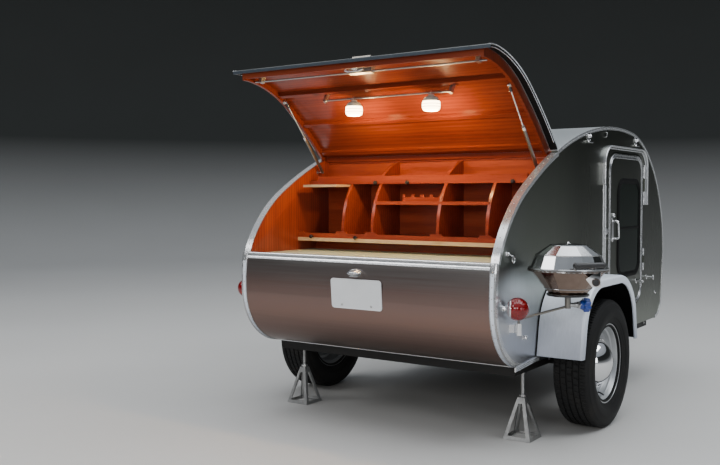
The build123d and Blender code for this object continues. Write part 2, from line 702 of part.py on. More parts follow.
# Coupler: channel over the tongue's nose and the ball housing
BALL_R = 25.4
SOCKET_WALL = 5
CHANNEL_W = 2 * NOSE_Y + TUBE + 2 * SOCKET_WALL
TONGUE_TOP = FRAME_Z
LATCH_PIN_R = 4.2
LATCH_PIN_X = BALL_X - 78
LATCH_PIN_Z = BALL_Z + 52
LATCH_W = 24
with BuildPart() as coupler:
    with BuildSketch(side(CHANNEL_W / 2)):
        with BuildLine():
            Polyline(
                (NOSE_X - 150, TONGUE_TOP), (NOSE_X + 20, TONGUE_TOP), (BALL_X - 60, BALL_Z - BALL_R),
                (BALL_X, BALL_Z - BALL_R), (BALL_X, BALL_Z + BALL_R + SOCKET_WALL),
                (BALL_X - 60, BALL_Z + BALL_R + SOCKET_WALL), (NOSE_X - 150, TONGUE_TOP + 60), close=True,
            )
        make_face()
    extrude(amount=CHANNEL_W)
    with BuildSketch(level(BALL_Z - BALL_R)):
        with Locations((BALL_X, 0)):
            Circle(CHANNEL_W / 2)
    extrude(amount=2 * BALL_R + SOCKET_WALL)
    with Locations(STATION * Pos(BALL_X, 0, BALL_Z)):
        Sphere(BALL_R + FIT, mode=Mode.SUBTRACT)
    with BuildSketch(level(BALL_Z - BALL_R - 1)):
        with Locations((BALL_X, 0)):
            Circle(BALL_R + FIT)
    extrude(amount=BALL_R + 1, mode=Mode.SUBTRACT)
    with BuildSketch(side(LATCH_W / 2)):
        with Locations((BALL_X - 70, BALL_Z + BALL_R + 20)):
            Rectangle(90, 44)
        with Locations((LATCH_PIN_X, LATCH_PIN_Z - 8)):
            Circle(LATCH_PIN_R, mode=Mode.SUBTRACT)
    extrude(amount=LATCH_W)
coupler.part.label = "coupler"
export_step(coupler.part, "parts/coupler.step")

# Tongue jack: fixed tube with its bracket and crank, and the sliding leg with its foot
JACK_X = NOSE_X - 260
JACK_R = 28
JACK_BORE = 24
JACK_LOW = 220
JACK_HIGH = 760
JACK_PLATE = 10
TONGUE_REACH = (NOSE_X - JACK_X) / (NOSE_X - TONGUE_REAR_X)
with BuildPart() as jack_tube:
    with BuildSketch(level(JACK_LOW)):
        with Locations((JACK_X, 0)):
            Circle(JACK_R)
            Circle(JACK_BORE + FIT, mode=Mode.SUBTRACT)
    extrude(amount=JACK_HIGH - JACK_LOW)
    with BuildSketch(level(JACK_HIGH)):
        with Locations((JACK_X, 0)):
            Circle(JACK_R + 3)
    extrude(amount=26)
    with BuildSketch(level(TONGUE_TOP)):
        with Locations((JACK_X, 0)):
            Rectangle(120, 2 * (NOSE_Y + TONGUE_REACH * (TONGUE_REAR_Y - NOSE_Y)) + TUBE)
            Circle(JACK_BORE + FIT, mode=Mode.SUBTRACT)
    extrude(amount=JACK_PLATE)
    with BuildSketch(side(6)):
        with Locations((JACK_X - JACK_R - 60, JACK_HIGH + 14)):
            Rectangle(130, 12)
    extrude(amount=12)
    with BuildSketch(level(JACK_HIGH + 14)):
        with Locations((JACK_X - JACK_R - 118, 0)):
            Circle(11)
    extrude(amount=90)
jack_tube.part.label = "jack_tube"
export_step(jack_tube.part, "parts/jack_tube.step")

FOOT_W = 150
FOOT_T = 8
with BuildPart() as jack_leg:
    with BuildSketch(level(0)):
        with Locations((JACK_X, 0)):
            RectangleRounded(FOOT_W, FOOT_W, 14)
    extrude(amount=FOOT_T)
    with BuildSketch(level(FOOT_T)):
        with Locations((JACK_X, 0)):
            Circle(JACK_BORE)
    extrude(amount=JACK_LOW + 120 - FOOT_T)
jack_leg.part.label = "jack_leg"
export_step(jack_leg.part, "parts/jack_leg.step")

# Axle: square beam, frame brackets, trailing arms and spindles
AXLE_T = 60
AXLE_X = 150
AXLE_HALF = RAIL_Y + TUBE / 2
ARM_T = 16
HUB_IN = BODY_HALF + 18
SPINDLE_END = TRACK_HALF + 20
with BuildPart() as axle:
    with BuildSketch(side(AXLE_HALF)):
        with Locations((AXLE_X, FRAME_Z - AXLE_T / 2)):
            Rectangle(AXLE_T, AXLE_T)
    extrude(amount=2 * AXLE_HALF)
    for arm_y in (AXLE_HALF + ARM_T, -AXLE_HALF):
        with BuildSketch(side(arm_y)):
            with BuildLine():
                arm_low = Line((0, WHEEL_R - 32), (AXLE_X, FRAME_Z - AXLE_T / 2 - 32))
                arm_round = ThreePointArc(
                    arm_low @ 1, (AXLE_X + 32, FRAME_Z - AXLE_T / 2), (AXLE_X, FRAME_Z - AXLE_T / 2 + 29)
                )
                arm_high = Line(arm_round @ 1, (0, WHEEL_R + 32))
                ThreePointArc(arm_high @ 1, (-32, WHEEL_R), arm_low @ 0)
            make_face()
        extrude(amount=ARM_T)
    for spindle_y, spindle_way in ((-AXLE_HALF - ARM_T, 1), (AXLE_HALF + ARM_T, -1)):
        with BuildSketch(side(spindle_y)):
            with Locations((0, WHEEL_R)):
                Circle(SPINDLE_R)
        extrude(amount=spindle_way * (SPINDLE_END - AXLE_HALF - ARM_T))
axle.part.label = "axle"
export_step(axle.part, "parts/axle.step")

# Wheels: tyre, rim with its dished disc, hub and domed cap
DISC_Y = 30            # disc face outward of the wheel's centre plane
DISC_T = 6
WHEEL = STATION * Location((0, -TRACK_HALF, WHEEL_R), (90, 0, 0))
CAP_R = 120
CAP_RISE = 70
WHEEL_CUT = Plane(WHEEL * Location((0, 0, 0), (0, -90, 0)))   # x outward, y radial
WHEEL_AXIS = Axis(WHEEL.position, (0, 1, 0))
with BuildPart() as tyre:
    with BuildSketch(WHEEL_CUT):
        with BuildLine():
            for way in (1, -1):
                bead = Line((way * RIM_W / 2, RIM_R), (way * RIM_W / 2, FLANGE_R + 1))
                foot = Line(bead @ 1, (way * (RIM_W / 2 + 9), FLANGE_R + 2))
                widest = (way * TYRE_W / 2, RIM_R + 0.52 * (WHEEL_R - RIM_R))
                cheek = ThreePointArc(foot @ 1, widest, (way * (TREAD_W / 2 + 8), WHEEL_R - 18))
                shoulder = (way * (TREAD_W / 2 + 1), WHEEL_R - 6)
                ThreePointArc(cheek @ 1, shoulder, (way * (TREAD_W / 2 - 12), WHEEL_R))
            Line((-TREAD_W / 2 + 12, WHEEL_R), (TREAD_W / 2 - 12, WHEEL_R))
            Line((-RIM_W / 2, RIM_R), (RIM_W / 2, RIM_R))
        make_face()
    revolve(axis=WHEEL_AXIS)
save_pair(tyre, "tyre")

RIM_T = 5
WELL_R = 168
WELL_W = 60
with BuildPart() as rim:
    with BuildSketch(WHEEL_CUT):
        with BuildLine():
            half = RIM_W / 2
            Polyline(
                (-half - 6, FLANGE_R), (-half, FLANGE_R), (-half, RIM_R), (-WELL_W / 2 - 14, RIM_R - 4),
                (-WELL_W / 2, WELL_R), (WELL_W / 2, WELL_R), (WELL_W / 2 + 14, RIM_R - 4), (half, RIM_R),
                (half, FLANGE_R), (half + 6, FLANGE_R), (half + 6, RIM_R - RIM_T),
                (WELL_W / 2 + 18, RIM_R - RIM_T - 6), (WELL_W / 2 + 2, WELL_R - RIM_T),
                (-WELL_W / 2 - 2, WELL_R - RIM_T), (-WELL_W / 2 - 18, RIM_R - RIM_T - 6),
                (-half - 6, RIM_R - RIM_T), close=True,
            )
        make_face()
        with BuildLine():
            Polyline(
                (WELL_W / 2 - 10, WELL_R - RIM_T + 1), (WELL_W / 2 - 4, CAP_R + 18),
                (DISC_Y, CAP_R - 8), (DISC_Y, HUB_R - 20),
                (DISC_Y - DISC_T, HUB_R - 20), (DISC_Y - DISC_T, CAP_R - 8),
                (WELL_W / 2 - 4 - DISC_T, CAP_R + 18), (WELL_W / 2 - 10 - DISC_T, WELL_R - RIM_T + 1),
                close=True,
            )
        make_face()
        with BuildLine():
            Polyline(
                (HUB_IN - TRACK_HALF, SPINDLE_R + FIT), (HUB_IN - TRACK_HALF, HUB_R - 16),
                (DISC_Y - DISC_T - 12, HUB_R - 16), (DISC_Y - DISC_T - 12, HUB_R + 20),
                (DISC_Y - DISC_T, HUB_R + 20), (DISC_Y - DISC_T, SPINDLE_R + FIT),
                close=True,
            )
        make_face()
    revolve(axis=WHEEL_AXIS)
save_pair(rim, "rim")

CAP_T = 2
CAP_Y = DISC_Y + 1
CAP_BALL_R = (CAP_R ** 2 + CAP_RISE ** 2) / (2 * CAP_RISE)
CAP_CENTRE = CAP_Y + CAP_RISE - CAP_BALL_R
CAP_HALF_TURN = math.degrees(math.asin(CAP_R / CAP_BALL_R))
with BuildPart() as hub_cap:
    with BuildSketch(WHEEL_CUT):
        with BuildLine():
            outer = CenterArc((CAP_CENTRE, 0), CAP_BALL_R, 0, CAP_HALF_TURN)
            inner = CenterArc((CAP_CENTRE, 0), CAP_BALL_R - CAP_T, 0, CAP_HALF_TURN)
            Line(outer @ 0, inner @ 0)
            Line(outer @ 1, inner @ 1)
        make_face()
    revolve(axis=WHEEL_AXIS)
save_pair(hub_cap, "hub_cap")

# Tail lamps on bent stalks
LAMP_X, LAMP_Z = -804, 690
LAMP_Y = BODY_HALF + 58
LAMP_R = 53
STALK_R = 10
with BuildPart() as lamp_stalks:
    with BuildSketch(side(-BODY_HALF)):
        with Locations((LAMP_X + 4, LAMP_Z)):
            Circle(24)
    extrude(amount=6)
    with BuildSketch(side(-BODY_HALF - 5)):
        with Locations((LAMP_X + 4, LAMP_Z)):
            Circle(STALK_R)
    extrude(amount=LAMP_Y - BODY_HALF - 5 - 0.8 * LAMP_R)
    with BuildSketch(side(-LAMP_Y + 0.92 * LAMP_R)):
        with Locations((LAMP_X + 4, LAMP_Z)):
            Circle(26)
    extrude(amount=10)
    mirror(about=Plane.XZ)
lamp_stalks.part.label = "lamp_stalks"
export_step(lamp_stalks.part, "parts/lamp_stalks.step")

with BuildPart() as lamp_lenses:
    with Locations(STATION * Pos(LAMP_X + 4, -LAMP_Y, LAMP_Z)):
        Sphere(LAMP_R)
    split(bisect_by=side(-LAMP_Y + 0.92 * LAMP_R - 10), keep=Keep.TOP)
    mirror(about=Plane.XZ)
lamp_lenses.part.label = "lamp_lenses"
export_step(lamp_lenses.part, "parts/lamp_lenses.step")

# Number plate, blank, and the lamp over it, both on the leaning rear panel
PLATE_Z = 716
PLATE_W, PLATE_H, PLATE_T = 305, 152, 2
PLATE_LEAN = 4.8
PLATE_TOUCH = edge(270 + PLATE_LEAN)   # where the leaning plate rests on the panel
PLATE_RISE = (PLATE_Z - PLATE_TOUCH[1]) / math.cos(math.radians(PLATE_LEAN))
PLATE_UP = (-math.sin(math.radians(PLATE_LEAN)), math.cos(math.radians(PLATE_LEAN)))
PLATE = Plane(
    origin=STATION.position + Vector(PLATE_TOUCH[0] + PLATE_RISE * PLATE_UP[0], 0, PLATE_Z),
    x_dir=(0, -1, 0),
    z_dir=(-PLATE_UP[1], 0, PLATE_UP[0]),
)
with BuildPart() as number_plate:
    with BuildSketch(PLATE):
        RectangleRounded(PLATE_W, PLATE_H, 12)
    extrude(amount=PLATE_T)
number_plate.part.label = "number_plate"
export_step(number_plate.part, "parts/number_plate.step")

NUMBER_LAMP_W, NUMBER_LAMP_H, NUMBER_LAMP_OUT = 82, 38, 34
NUMBER_LAMP_RISE = 108
NUMBER_LAMP_FOOT = 30
with BuildPart() as number_lamp:
    with BuildSketch(PLATE):
        with Locations((0, NUMBER_LAMP_RISE)):
            SlotOverall(NUMBER_LAMP_W, NUMBER_LAMP_H)
    extrude(amount=NUMBER_LAMP_OUT - 12)
    fillet(number_lamp.faces().sort_by(Axis.X)[0].edges(), radius=9)
    with BuildSketch(PLATE):
        with Locations((0, NUMBER_LAMP_RISE)):
            SlotOverall(NUMBER_LAMP_W - 8, NUMBER_LAMP_H - 8)
    extrude(amount=-NUMBER_LAMP_FOOT)
    with BuildSketch(side(NUMBER_LAMP_W)):
        add(whole(0))
    extrude(amount=2 * NUMBER_LAMP_W, mode=Mode.SUBTRACT)
number_lamp.part.label = "number_lamp"
export_step(number_lamp.part, "parts/number_lamp.step")

# Corner stands as parked: open pyramids with a screw up to the side rail
STAND_X = -450
STAND_W = 140
STAND_TOP_W = 34
STAND_HEAD_Z = 200
STAND_BAR = 12
STAND_SCREW_R = 8
with BuildPart() as stands:
    with BuildSketch(level(0)):
        with Locations((STAND_X, -RAIL_Y)):
            Rectangle(STAND_W, STAND_W)
            Rectangle(STAND_W - 2 * STAND_BAR, STAND_W - 2 * STAND_BAR, mode=Mode.SUBTRACT)
    extrude(amount=STAND_BAR / 2)
    for way_x, way_y in ((1, 1), (1, -1), (-1, 1), (-1, -1)):
        for leg_z, head_w in ((0, STAND_W), (STAND_HEAD_Z, STAND_TOP_W)):
            spread = (head_w - STAND_BAR) / 2
            with BuildSketch(level(leg_z)):
                with Locations((STAND_X + way_x * spread, -RAIL_Y + way_y * spread)):
                    Rectangle(STAND_BAR, STAND_BAR)
        loft()
    with BuildSketch(level(STAND_HEAD_Z - STAND_BAR)):
        with Locations((STAND_X, -RAIL_Y)):
            Rectangle(STAND_TOP_W, STAND_TOP_W)
    extrude(amount=STAND_BAR + 6)
    with BuildSketch(level(STAND_HEAD_Z)):
        with Locations((STAND_X, -RAIL_Y)):
            Circle(STAND_SCREW_R)
    extrude(amount=FRAME_Z - STAND_HEAD_Z)
    with BuildSketch(level(FRAME_Z - 10)):
        with Locations((STAND_X, -RAIL_Y)):
            Rectangle(34, 34)
    extrude(amount=10)
    mirror(about=Plane.XZ)
stands.part.label = "stands"
export_step(stands.part, "parts/stands.step")

# Hatch latch: cross rods, end guides and the centre lock with its outer handle
LATCH_TURN = 237.3
LATCH_DEPTH = 40
ROD_SIZE_R = 5
with BuildPart() as hatch_latch:
    latch_point = edge(LATCH_TURN, LATCH_DEPTH)
    with BuildSketch(side(RIB_FACE - 6, OPENED)):
        with Locations(latch_point):
            Circle(ROD_SIZE_R)
    extrude(amount=2 * (RIB_FACE - 6))
    for guide_y, guide_w in ((RIB_FACE - 40, 20), (70, 140), (-RIB_FACE + 60, 20)):
        with BuildSketch(side(guide_y, OPENED)):
            guide_turn = turn_for(16, LATCH_TURN)
            guide_low = LATCH_DEPTH + ROD_SIZE_R + 3
            add(band(LATCH_TURN - guide_turn, LATCH_TURN + guide_turn, SKIN_IN + LINING_T, guide_low))
        extrude(amount=guide_w)
hatch_latch.part.label = "hatch_latch"
export_step(hatch_latch.part, "parts/hatch_latch.step")

OUTER_HANDLE_L = 110
with BuildPart() as hatch_handle:
    with BuildSketch(side(OUTER_HANDLE_L / 2, OPENED)):
        handle_turn = turn_for(12, LATCH_TURN)
        add(band(LATCH_TURN - handle_turn, LATCH_TURN + handle_turn, -HATCH_RISE - 30, -HATCH_RISE - 18))
    extrude(amount=OUTER_HANDLE_L)
    with BuildSketch(side(12, OPENED)):
        post_turn = turn_for(8, LATCH_TURN)
        add(band(LATCH_TURN - post_turn, LATCH_TURN + post_turn, -HATCH_RISE - 20, -HATCH_RISE))
    extrude(amount=24)
hatch_handle.part.label = "hatch_handle"
export_step(hatch_handle.part, "parts/hatch_handle.step")

# Lantern rail under the hatch with its two lanterns, hanging as parked
RAIL_TURN = 217.6
RAIL_DEPTH = 62
LANTERN_Y = (197, -274)
LANTERN_R = 46
LANTERN_H = 84
RAIL_ROD_R = 5
RAIL_HALF = 395


def opened_point(turn, inset):
    """Point of the side view on the opened hatch."""
    return turned(edge(turn, inset), HATCH_OPEN)


RAIL_POINT = opened_point(RAIL_TURN, RAIL_DEPTH)
with BuildPart() as lantern_rail:
    with BuildSketch(side(RAIL_HALF)):
        with Locations(RAIL_POINT):
            Circle(RAIL_ROD_R)
    extrude(amount=2 * RAIL_HALF)
    for bracket_y in (RAIL_HALF, -RAIL_HALF + 16):
        with BuildSketch(side(bracket_y, OPENED)):
            bracket_turn = turn_for(12, RAIL_TURN)
            add(band(RAIL_TURN - bracket_turn, RAIL_TURN + bracket_turn, SKIN_IN + LINING_T, RAIL_DEPTH + 9))
        extrude(amount=16)
lantern_rail.part.label = "lantern_rail"
export_step(lantern_rail.part, "parts/lantern_rail.step")

LANTERN_TOP = STATION * Pos(RAIL_POINT[0], 0, RAIL_POINT[1] - RAIL_ROD_R - 2)
with BuildPart() as lanterns:
    for lantern_y in LANTERN_Y:
        with BuildSketch(Plane(LANTERN_TOP * Pos(0, lantern_y, 0))):
            Circle(0.62 * LANTERN_R)
        extrude(amount=-24)
        with BuildSketch(Plane(LANTERN_TOP * Pos(0, lantern_y, -24))):
            Circle(LANTERN_R)
        extrude(amount=-(LANTERN_H - 24), taper=4)
        with BuildSketch(Plane(LANTERN_TOP * Location((0, lantern_y + 10, 2), (90, 0, 0)))):
            with Locations((0, RAIL_ROD_R)):
                Circle(RAIL_ROD_R + 6)
                Circle(RAIL_ROD_R + 0.3, mode=Mode.SUBTRACT)
        extrude(amount=20)
lanterns.part.label = "lanterns"
export_step(lanterns.part, "parts/lanterns.step")

# Side grill on its swing arm
GRILL_SIDES = 16
ARM_X, ARM_Y = -742, -BODY_HALF - 38
GRILL_X, GRILL_Y = ARM_X + 142, ARM_Y - 180
ARM_Z = 640
ARM_R = 6
SOCKET_R = 14
SOCKET_LOW_Z = 560
SOCKET_H = 56
SOCKET_PLATE_W, SOCKET_PLATE_H, SOCKET_PLATE_T = 70, 44, 6
GRILL_LOW_Z = 754
BOWL_LOW_R, BOWL_R = 87, 172
BOWL_RIM_R = 185
BASE_PLATE_R = 94
GRILL_RIM_Z = 868
LID_Z = GRILL_RIM_Z + 0.5
LID_HINGE_OUT = 190    # hinge axis inboard of the grill's centre
LID_LUG_W = 60
LID_GRIP_OUT, LID_GRIP_W = 196, 156
LUG_T = 6
LID_PLATE = 20
LUG_R = 6
HINGE_PIN_R = 2.5
HINGE_PIN_Z = LID_Z + 6
BRACKET_Y = 118        # bracket plate outboard of the grill's centre
BRACKET_T = 3
LID_TURN = -40         # lid's hinge and grip turned round the stem, degrees
BRACKET_TURN = -72     # control bracket turned round the stem, degrees


def about_stem(plane, turn):
    """The plane carried round the grill's stem by a turn in degrees."""
    stem = STATION * Pos(GRILL_X, GRILL_Y, 0)
    return Plane(stem * Rot(0, 0, turn) * stem.inverse() * plane.location)


with BuildPart() as grill_socket:
    with BuildSketch(level(SOCKET_LOW_Z)):
        with Locations((ARM_X, ARM_Y)):
            Circle(SOCKET_R)
            Circle(ARM_R + FIT, mode=Mode.SUBTRACT)
    extrude(amount=SOCKET_H)
    with BuildSketch(side(-BODY_HALF)):
        with Locations((ARM_X, SOCKET_LOW_Z + 30)):
            Rectangle(SOCKET_PLATE_W, SOCKET_PLATE_H)
    extrude(amount=SOCKET_PLATE_T)
    with BuildSketch(level(SOCKET_LOW_Z + 12)):
        with Locations((ARM_X, (ARM_Y - BODY_HALF) / 2 + 4)):
            Rectangle(16, -BODY_HALF - ARM_Y - 12)
    extrude(amount=SOCKET_H - 20)
grill_socket.part.label = "grill_socket"
export_step(grill_socket.part, "parts/grill_socket.step")

STEM_R = 14
STEM_Z = 684
REGULATOR = Plane(
    origin=STATION.position + Vector(GRILL_X, GRILL_Y, STEM_Z + 16),
    z_dir=(math.cos(math.radians(-50)), math.sin(math.radians(-50)), 0),
)
with BuildPart() as grill_arm:
    with BuildSketch(level(SOCKET_LOW_Z + 2)):
        with Locations((ARM_X, ARM_Y)):
            Circle(ARM_R)
    extrude(amount=ARM_Z - SOCKET_LOW_Z - 2)
    with BuildLine():
        arm_path = Line(
            (ARM_X - BALL_X, ARM_Y, ARM_Z - 4 - BALL_Z), (GRILL_X - BALL_X, GRILL_Y, STEM_Z + 10 - BALL_Z)
        )
    with BuildSketch(Plane(arm_path @ 0, z_dir=arm_path % 0)):
        Circle(ARM_R)
    sweep(path=arm_path)
    with Locations(STATION * Pos(ARM_X, ARM_Y, ARM_Z - 4)):
        Sphere(ARM_R + 3)
    with BuildSketch(level(STEM_Z)):
        with Locations((GRILL_X, GRILL_Y)):
            Circle(STEM_R)
    extrude(amount=GRILL_LOW_Z - 10 - STEM_Z)
    with BuildSketch(level(GRILL_LOW_Z - 10)):
        with Locations((GRILL_X, GRILL_Y)):
            Circle(BASE_PLATE_R)
    extrude(amount=10)
    with BuildSketch(REGULATOR):
        Circle(9)
    extrude(amount=58)
    with BuildSketch(REGULATOR.offset(56)):
        Circle(15)
    extrude(amount=20)
    with BuildSketch(REGULATOR.offset(74)):
        Circle(26)
    extrude(amount=30)
grill_arm.part.label = "grill_arm"
export_step(grill_arm.part, "parts/grill_arm.step")

with BuildPart() as grill_bowl:
    for bowl_z, bowl_r in ((GRILL_LOW_Z, BOWL_LOW_R), (GRILL_RIM_Z - 8, BOWL_R)):
        with BuildSketch(level(bowl_z)):
            with Locations((GRILL_X, GRILL_Y)):
                RegularPolygon(bowl_r, GRILL_SIDES)
    loft()
    with BuildSketch(level(GRILL_RIM_Z - 8)):
        with Locations((GRILL_X, GRILL_Y)):
            Circle(BOWL_RIM_R)
    extrude(amount=8)
    for bowl_z, bowl_r in ((GRILL_LOW_Z + 3, BOWL_LOW_R - 3), (GRILL_RIM_Z + 0.1, BOWL_R)):
        with BuildSketch(level(bowl_z)):
            with Locations((GRILL_X, GRILL_Y)):
                RegularPolygon(bowl_r, GRILL_SIDES)
    loft(mode=Mode.SUBTRACT)
    for lug_x in (-LID_LUG_W / 2, LID_LUG_W / 2 - LUG_T):
        with BuildSketch(about_stem(across(GRILL_X + lug_x), LID_TURN)):
            with Locations((GRILL_Y + LID_HINGE_OUT, HINGE_PIN_Z)):
                Circle(LUG_R)
            with Locations((GRILL_Y + LID_HINGE_OUT - LUG_R, GRILL_RIM_Z - 4)):
                Rectangle(3 * LUG_R, 8)
            with Locations((GRILL_Y + LID_HINGE_OUT + 0.5, GRILL_RIM_Z)):
                Rectangle(2 * LUG_R - 2, 2 * LUG_R)
        extrude(amount=LUG_T)
    with BuildSketch(about_stem(across(GRILL_X - LID_LUG_W / 2), LID_TURN)):
        with Locations((GRILL_Y + LID_HINGE_OUT, HINGE_PIN_Z)):
            Circle(HINGE_PIN_R)
    extrude(amount=LID_LUG_W)
    with BuildSketch(about_stem(side(GRILL_Y - BRACKET_Y), BRACKET_TURN)):
        with BuildLine():
            Polyline(
                (GRILL_X + 60, GRILL_RIM_Z - 4), (GRILL_X + 150, GRILL_RIM_Z - 4),
                (GRILL_X + 150, GRILL_LOW_Z + 44), (GRILL_X + 112, GRILL_LOW_Z + 44), close=True,
            )
        make_face()
    extrude(amount=-BRACKET_T)
    with BuildSketch(about_stem(side(GRILL_Y - BRACKET_Y), BRACKET_TURN)):
        with Locations((GRILL_X + 130, GRILL_LOW_Z + 66)):
            Circle(17)
    extrude(amount=22)
grill_bowl.part.label = "grill_bowl"
export_step(grill_bowl.part, "parts/grill_bowl.step")

LID_SECTIONS = (
    # height over the rim, radius outside
    (0, BOWL_R + 2), (66, 148), (110, 84), (117, 40),
)
with BuildPart() as grill_lid:
    with BuildSketch(level(LID_Z)):
        with Locations((GRILL_X, GRILL_Y)):
            Circle(BOWL_RIM_R - 1)
            Circle(BOWL_R - 1, mode=Mode.SUBTRACT)
    extrude(amount=6)
    for (low_z, low_r), (high_z, high_r) in zip(LID_SECTIONS, LID_SECTIONS[1:]):
        for lid_z, lid_r in ((low_z, low_r), (high_z, high_r)):
            with BuildSketch(level(LID_Z + lid_z)):
                with Locations((GRILL_X, GRILL_Y)):
                    RegularPolygon(lid_r, GRILL_SIDES)
        loft()
    for (low_z, low_r), (high_z, high_r) in zip(LID_SECTIONS[:-1], LID_SECTIONS[1:-1]):
        for lid_z, lid_r in ((low_z, low_r), (high_z, high_r)):
            with BuildSketch(level(LID_Z + lid_z - 0.01)):
                with Locations((GRILL_X, GRILL_Y)):
                    RegularPolygon(lid_r - 3, GRILL_SIDES)
        loft(mode=Mode.SUBTRACT)
    with BuildSketch(about_stem(across(GRILL_X - LID_LUG_W / 2 + LUG_T + 0.5), LID_TURN)):
        with Locations((GRILL_Y + LID_HINGE_OUT - HINGE_PIN_R - 1 - LID_PLATE / 2, LID_Z + 2.5)):
            Rectangle(LID_PLATE, 5)
        with Locations((GRILL_Y + LID_HINGE_OUT, HINGE_PIN_Z)):
            Circle(LUG_R - 1)
            Circle(HINGE_PIN_R + FIT, mode=Mode.SUBTRACT)
    extrude(amount=LID_LUG_W - 2 * LUG_T - 1)
    with BuildSketch(about_stem(side(GRILL_Y - LID_GRIP_OUT), LID_TURN)):
        with Locations((GRILL_X - 52, LID_Z + 30), (GRILL_X + 52, LID_Z + 30)):
            Circle(4)
    extrude(amount=-(LID_GRIP_OUT - 138))
    with BuildSketch(about_stem(across(GRILL_X - LID_GRIP_W / 2), LID_TURN)):
        with Locations((GRILL_Y - LID_GRIP_OUT, LID_Z + 30)):
            Circle(10)
    extrude(amount=LID_GRIP_W)
grill_lid.part.label = "grill_lid"
export_step(grill_lid.part, "parts/grill_lid.step")
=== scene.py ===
"""Teardrop trailer, parked with its galley hatch open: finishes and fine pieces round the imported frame.

Lengths are metres; mm() holds small profiles in millimetres. Shapes are worked out in stations (x forward
of the axle, y to the left, z above the ground) and moved to the frame, whose origin is the towing ball,
when their mesh is made. A turn is the side outline's heading in degrees; an inset is measured inwards.
"""
import math

import bmesh
import bpy
import numpy as np
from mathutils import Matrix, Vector


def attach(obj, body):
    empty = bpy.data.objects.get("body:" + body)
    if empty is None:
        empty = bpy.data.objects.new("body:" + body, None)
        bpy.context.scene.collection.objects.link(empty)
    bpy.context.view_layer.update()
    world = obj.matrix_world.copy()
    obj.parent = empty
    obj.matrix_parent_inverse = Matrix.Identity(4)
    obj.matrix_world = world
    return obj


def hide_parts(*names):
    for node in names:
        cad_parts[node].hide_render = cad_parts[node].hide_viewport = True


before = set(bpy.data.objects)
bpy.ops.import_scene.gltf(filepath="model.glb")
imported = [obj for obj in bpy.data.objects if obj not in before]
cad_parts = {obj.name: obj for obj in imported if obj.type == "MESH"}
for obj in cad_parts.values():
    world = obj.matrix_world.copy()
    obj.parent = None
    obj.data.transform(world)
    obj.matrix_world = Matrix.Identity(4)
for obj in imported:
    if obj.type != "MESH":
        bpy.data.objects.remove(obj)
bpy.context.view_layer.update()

X, Y, Z = np.eye(3)
MIRROR = X - Y + Z                     # to the other side
BALL = np.array([2.7, 0.0, 0.452])     # station of the towing ball
HALF = 0.762                           # half the body's width
WALL_Y = -HALF                         # outer face of the right wall
INNER = 0.724                          # inner face of the side walls
HINGE_TURN = 201.3                     # hatch's hinge
HATCH_END_TURN = 253.25                # hatch's lower edge
PANEL_TURN = 254.29                    # rear panel's top
HATCH_OPEN = math.radians(66.8)
HATCH_SKIN = -0.008                    # inset of the hatch's outer face
LINING = 0.015                         # inset of the lining's lower face
SEAT = 0.010                           # inset of the wall's edge under the hatch
LANTERN_Y = (0.197, -0.274)
SIDES = ((-1, "right"), (1, "left"))
TRAILER = "trailer"

# Side outline: radius and turn of each tangent arc, from the front of the flat bottom
OUTLINE = (
    (0.145, 80.6), (3.710, 3.5), (0.790, 90.0), (2.526, 37.4), (0.749, 28.5), (0.330, 24.0), (1.000, 9.0),
)


def mm(*rows):
    """Rows of millimetres as an array of metres."""
    return np.array(rows, float) * 0.001


def outline_arcs():
    """First heading, last heading, centre and radius of each arc; the last radius closes the loop."""
    radii = np.array([radius for radius, turn in OUTLINE])
    heads = np.concatenate([[0.0], np.cumsum(np.radians([turn for radius, turn in OUTLINE]))])
    climb = np.sum(radii * (np.cos(heads[:-1]) - np.cos(heads[1:])))
    radii = np.append(radii, climb / (1 - np.cos(heads[-1])))
    heads = np.append(heads, 2 * np.pi)
    run = np.stack([np.diff(np.sin(heads)), -np.diff(np.cos(heads))], 1) * radii[:, None]
    starts = np.array([1.509, 0.385]) + np.concatenate([[[0, 0]], np.cumsum(run, 0)[:-1]])
    centres = starts + radii[:, None] * np.stack([-np.sin(heads[:-1]), np.cos(heads[:-1])], 1)
    return np.column_stack([np.degrees(heads[:-1]), np.degrees(heads[1:]), centres, radii])


ARCS = outline_arcs()


def edge(turn, inset=0.0):
    """Outline points (x, z) at given turns: arc centre plus (radius - inset) along the outward normal."""
    turn = np.asarray(turn, float)
    row = ARCS[np.searchsorted(ARCS[:, 1], turn - 1e-9).clip(0, len(ARCS) - 1)]
    angle = np.radians(turn)
    reach = row[..., 4] - inset
    return np.stack([row[..., 2] + reach * np.sin(angle), row[..., 3] - reach * np.cos(angle)], -1)


def headings(start, end, step):
    """Turns between two others, each arc cut into equal parts of about one step."""
    low, high = np.maximum(ARCS[:, 0], start), np.minimum(ARCS[:, 1], end)
    cuts = [
        np.linspace(a, b, max(3, int(math.radians(b - a) * r / step) + 2))[:-1]
        for a, b, r in zip(low, high, ARCS[:, 4]) if b - a > 1e-6
    ]
    return np.append(np.concatenate(cuts), end)


def along_side(turns, inset, y):
    """Points on the outline at a set width."""
    flat = edge(turns, inset)
    return np.stack([flat[..., 0], np.broadcast_to(y, flat[..., 0].shape), flat[..., 1]], -1)


def onward(turn):
    """Way along the outline at a turn."""
    angle = np.radians(turn)
    return np.stack([np.cos(angle), 0 * angle, np.sin(angle)], -1)


def outward(turn):
    """Way square to the outline at a turn."""
    angle = np.radians(turn)
    return np.stack([np.sin(angle), 0 * angle, -np.cos(angle)], -1)


HINGE = edge(HINGE_TURN, -0.006)


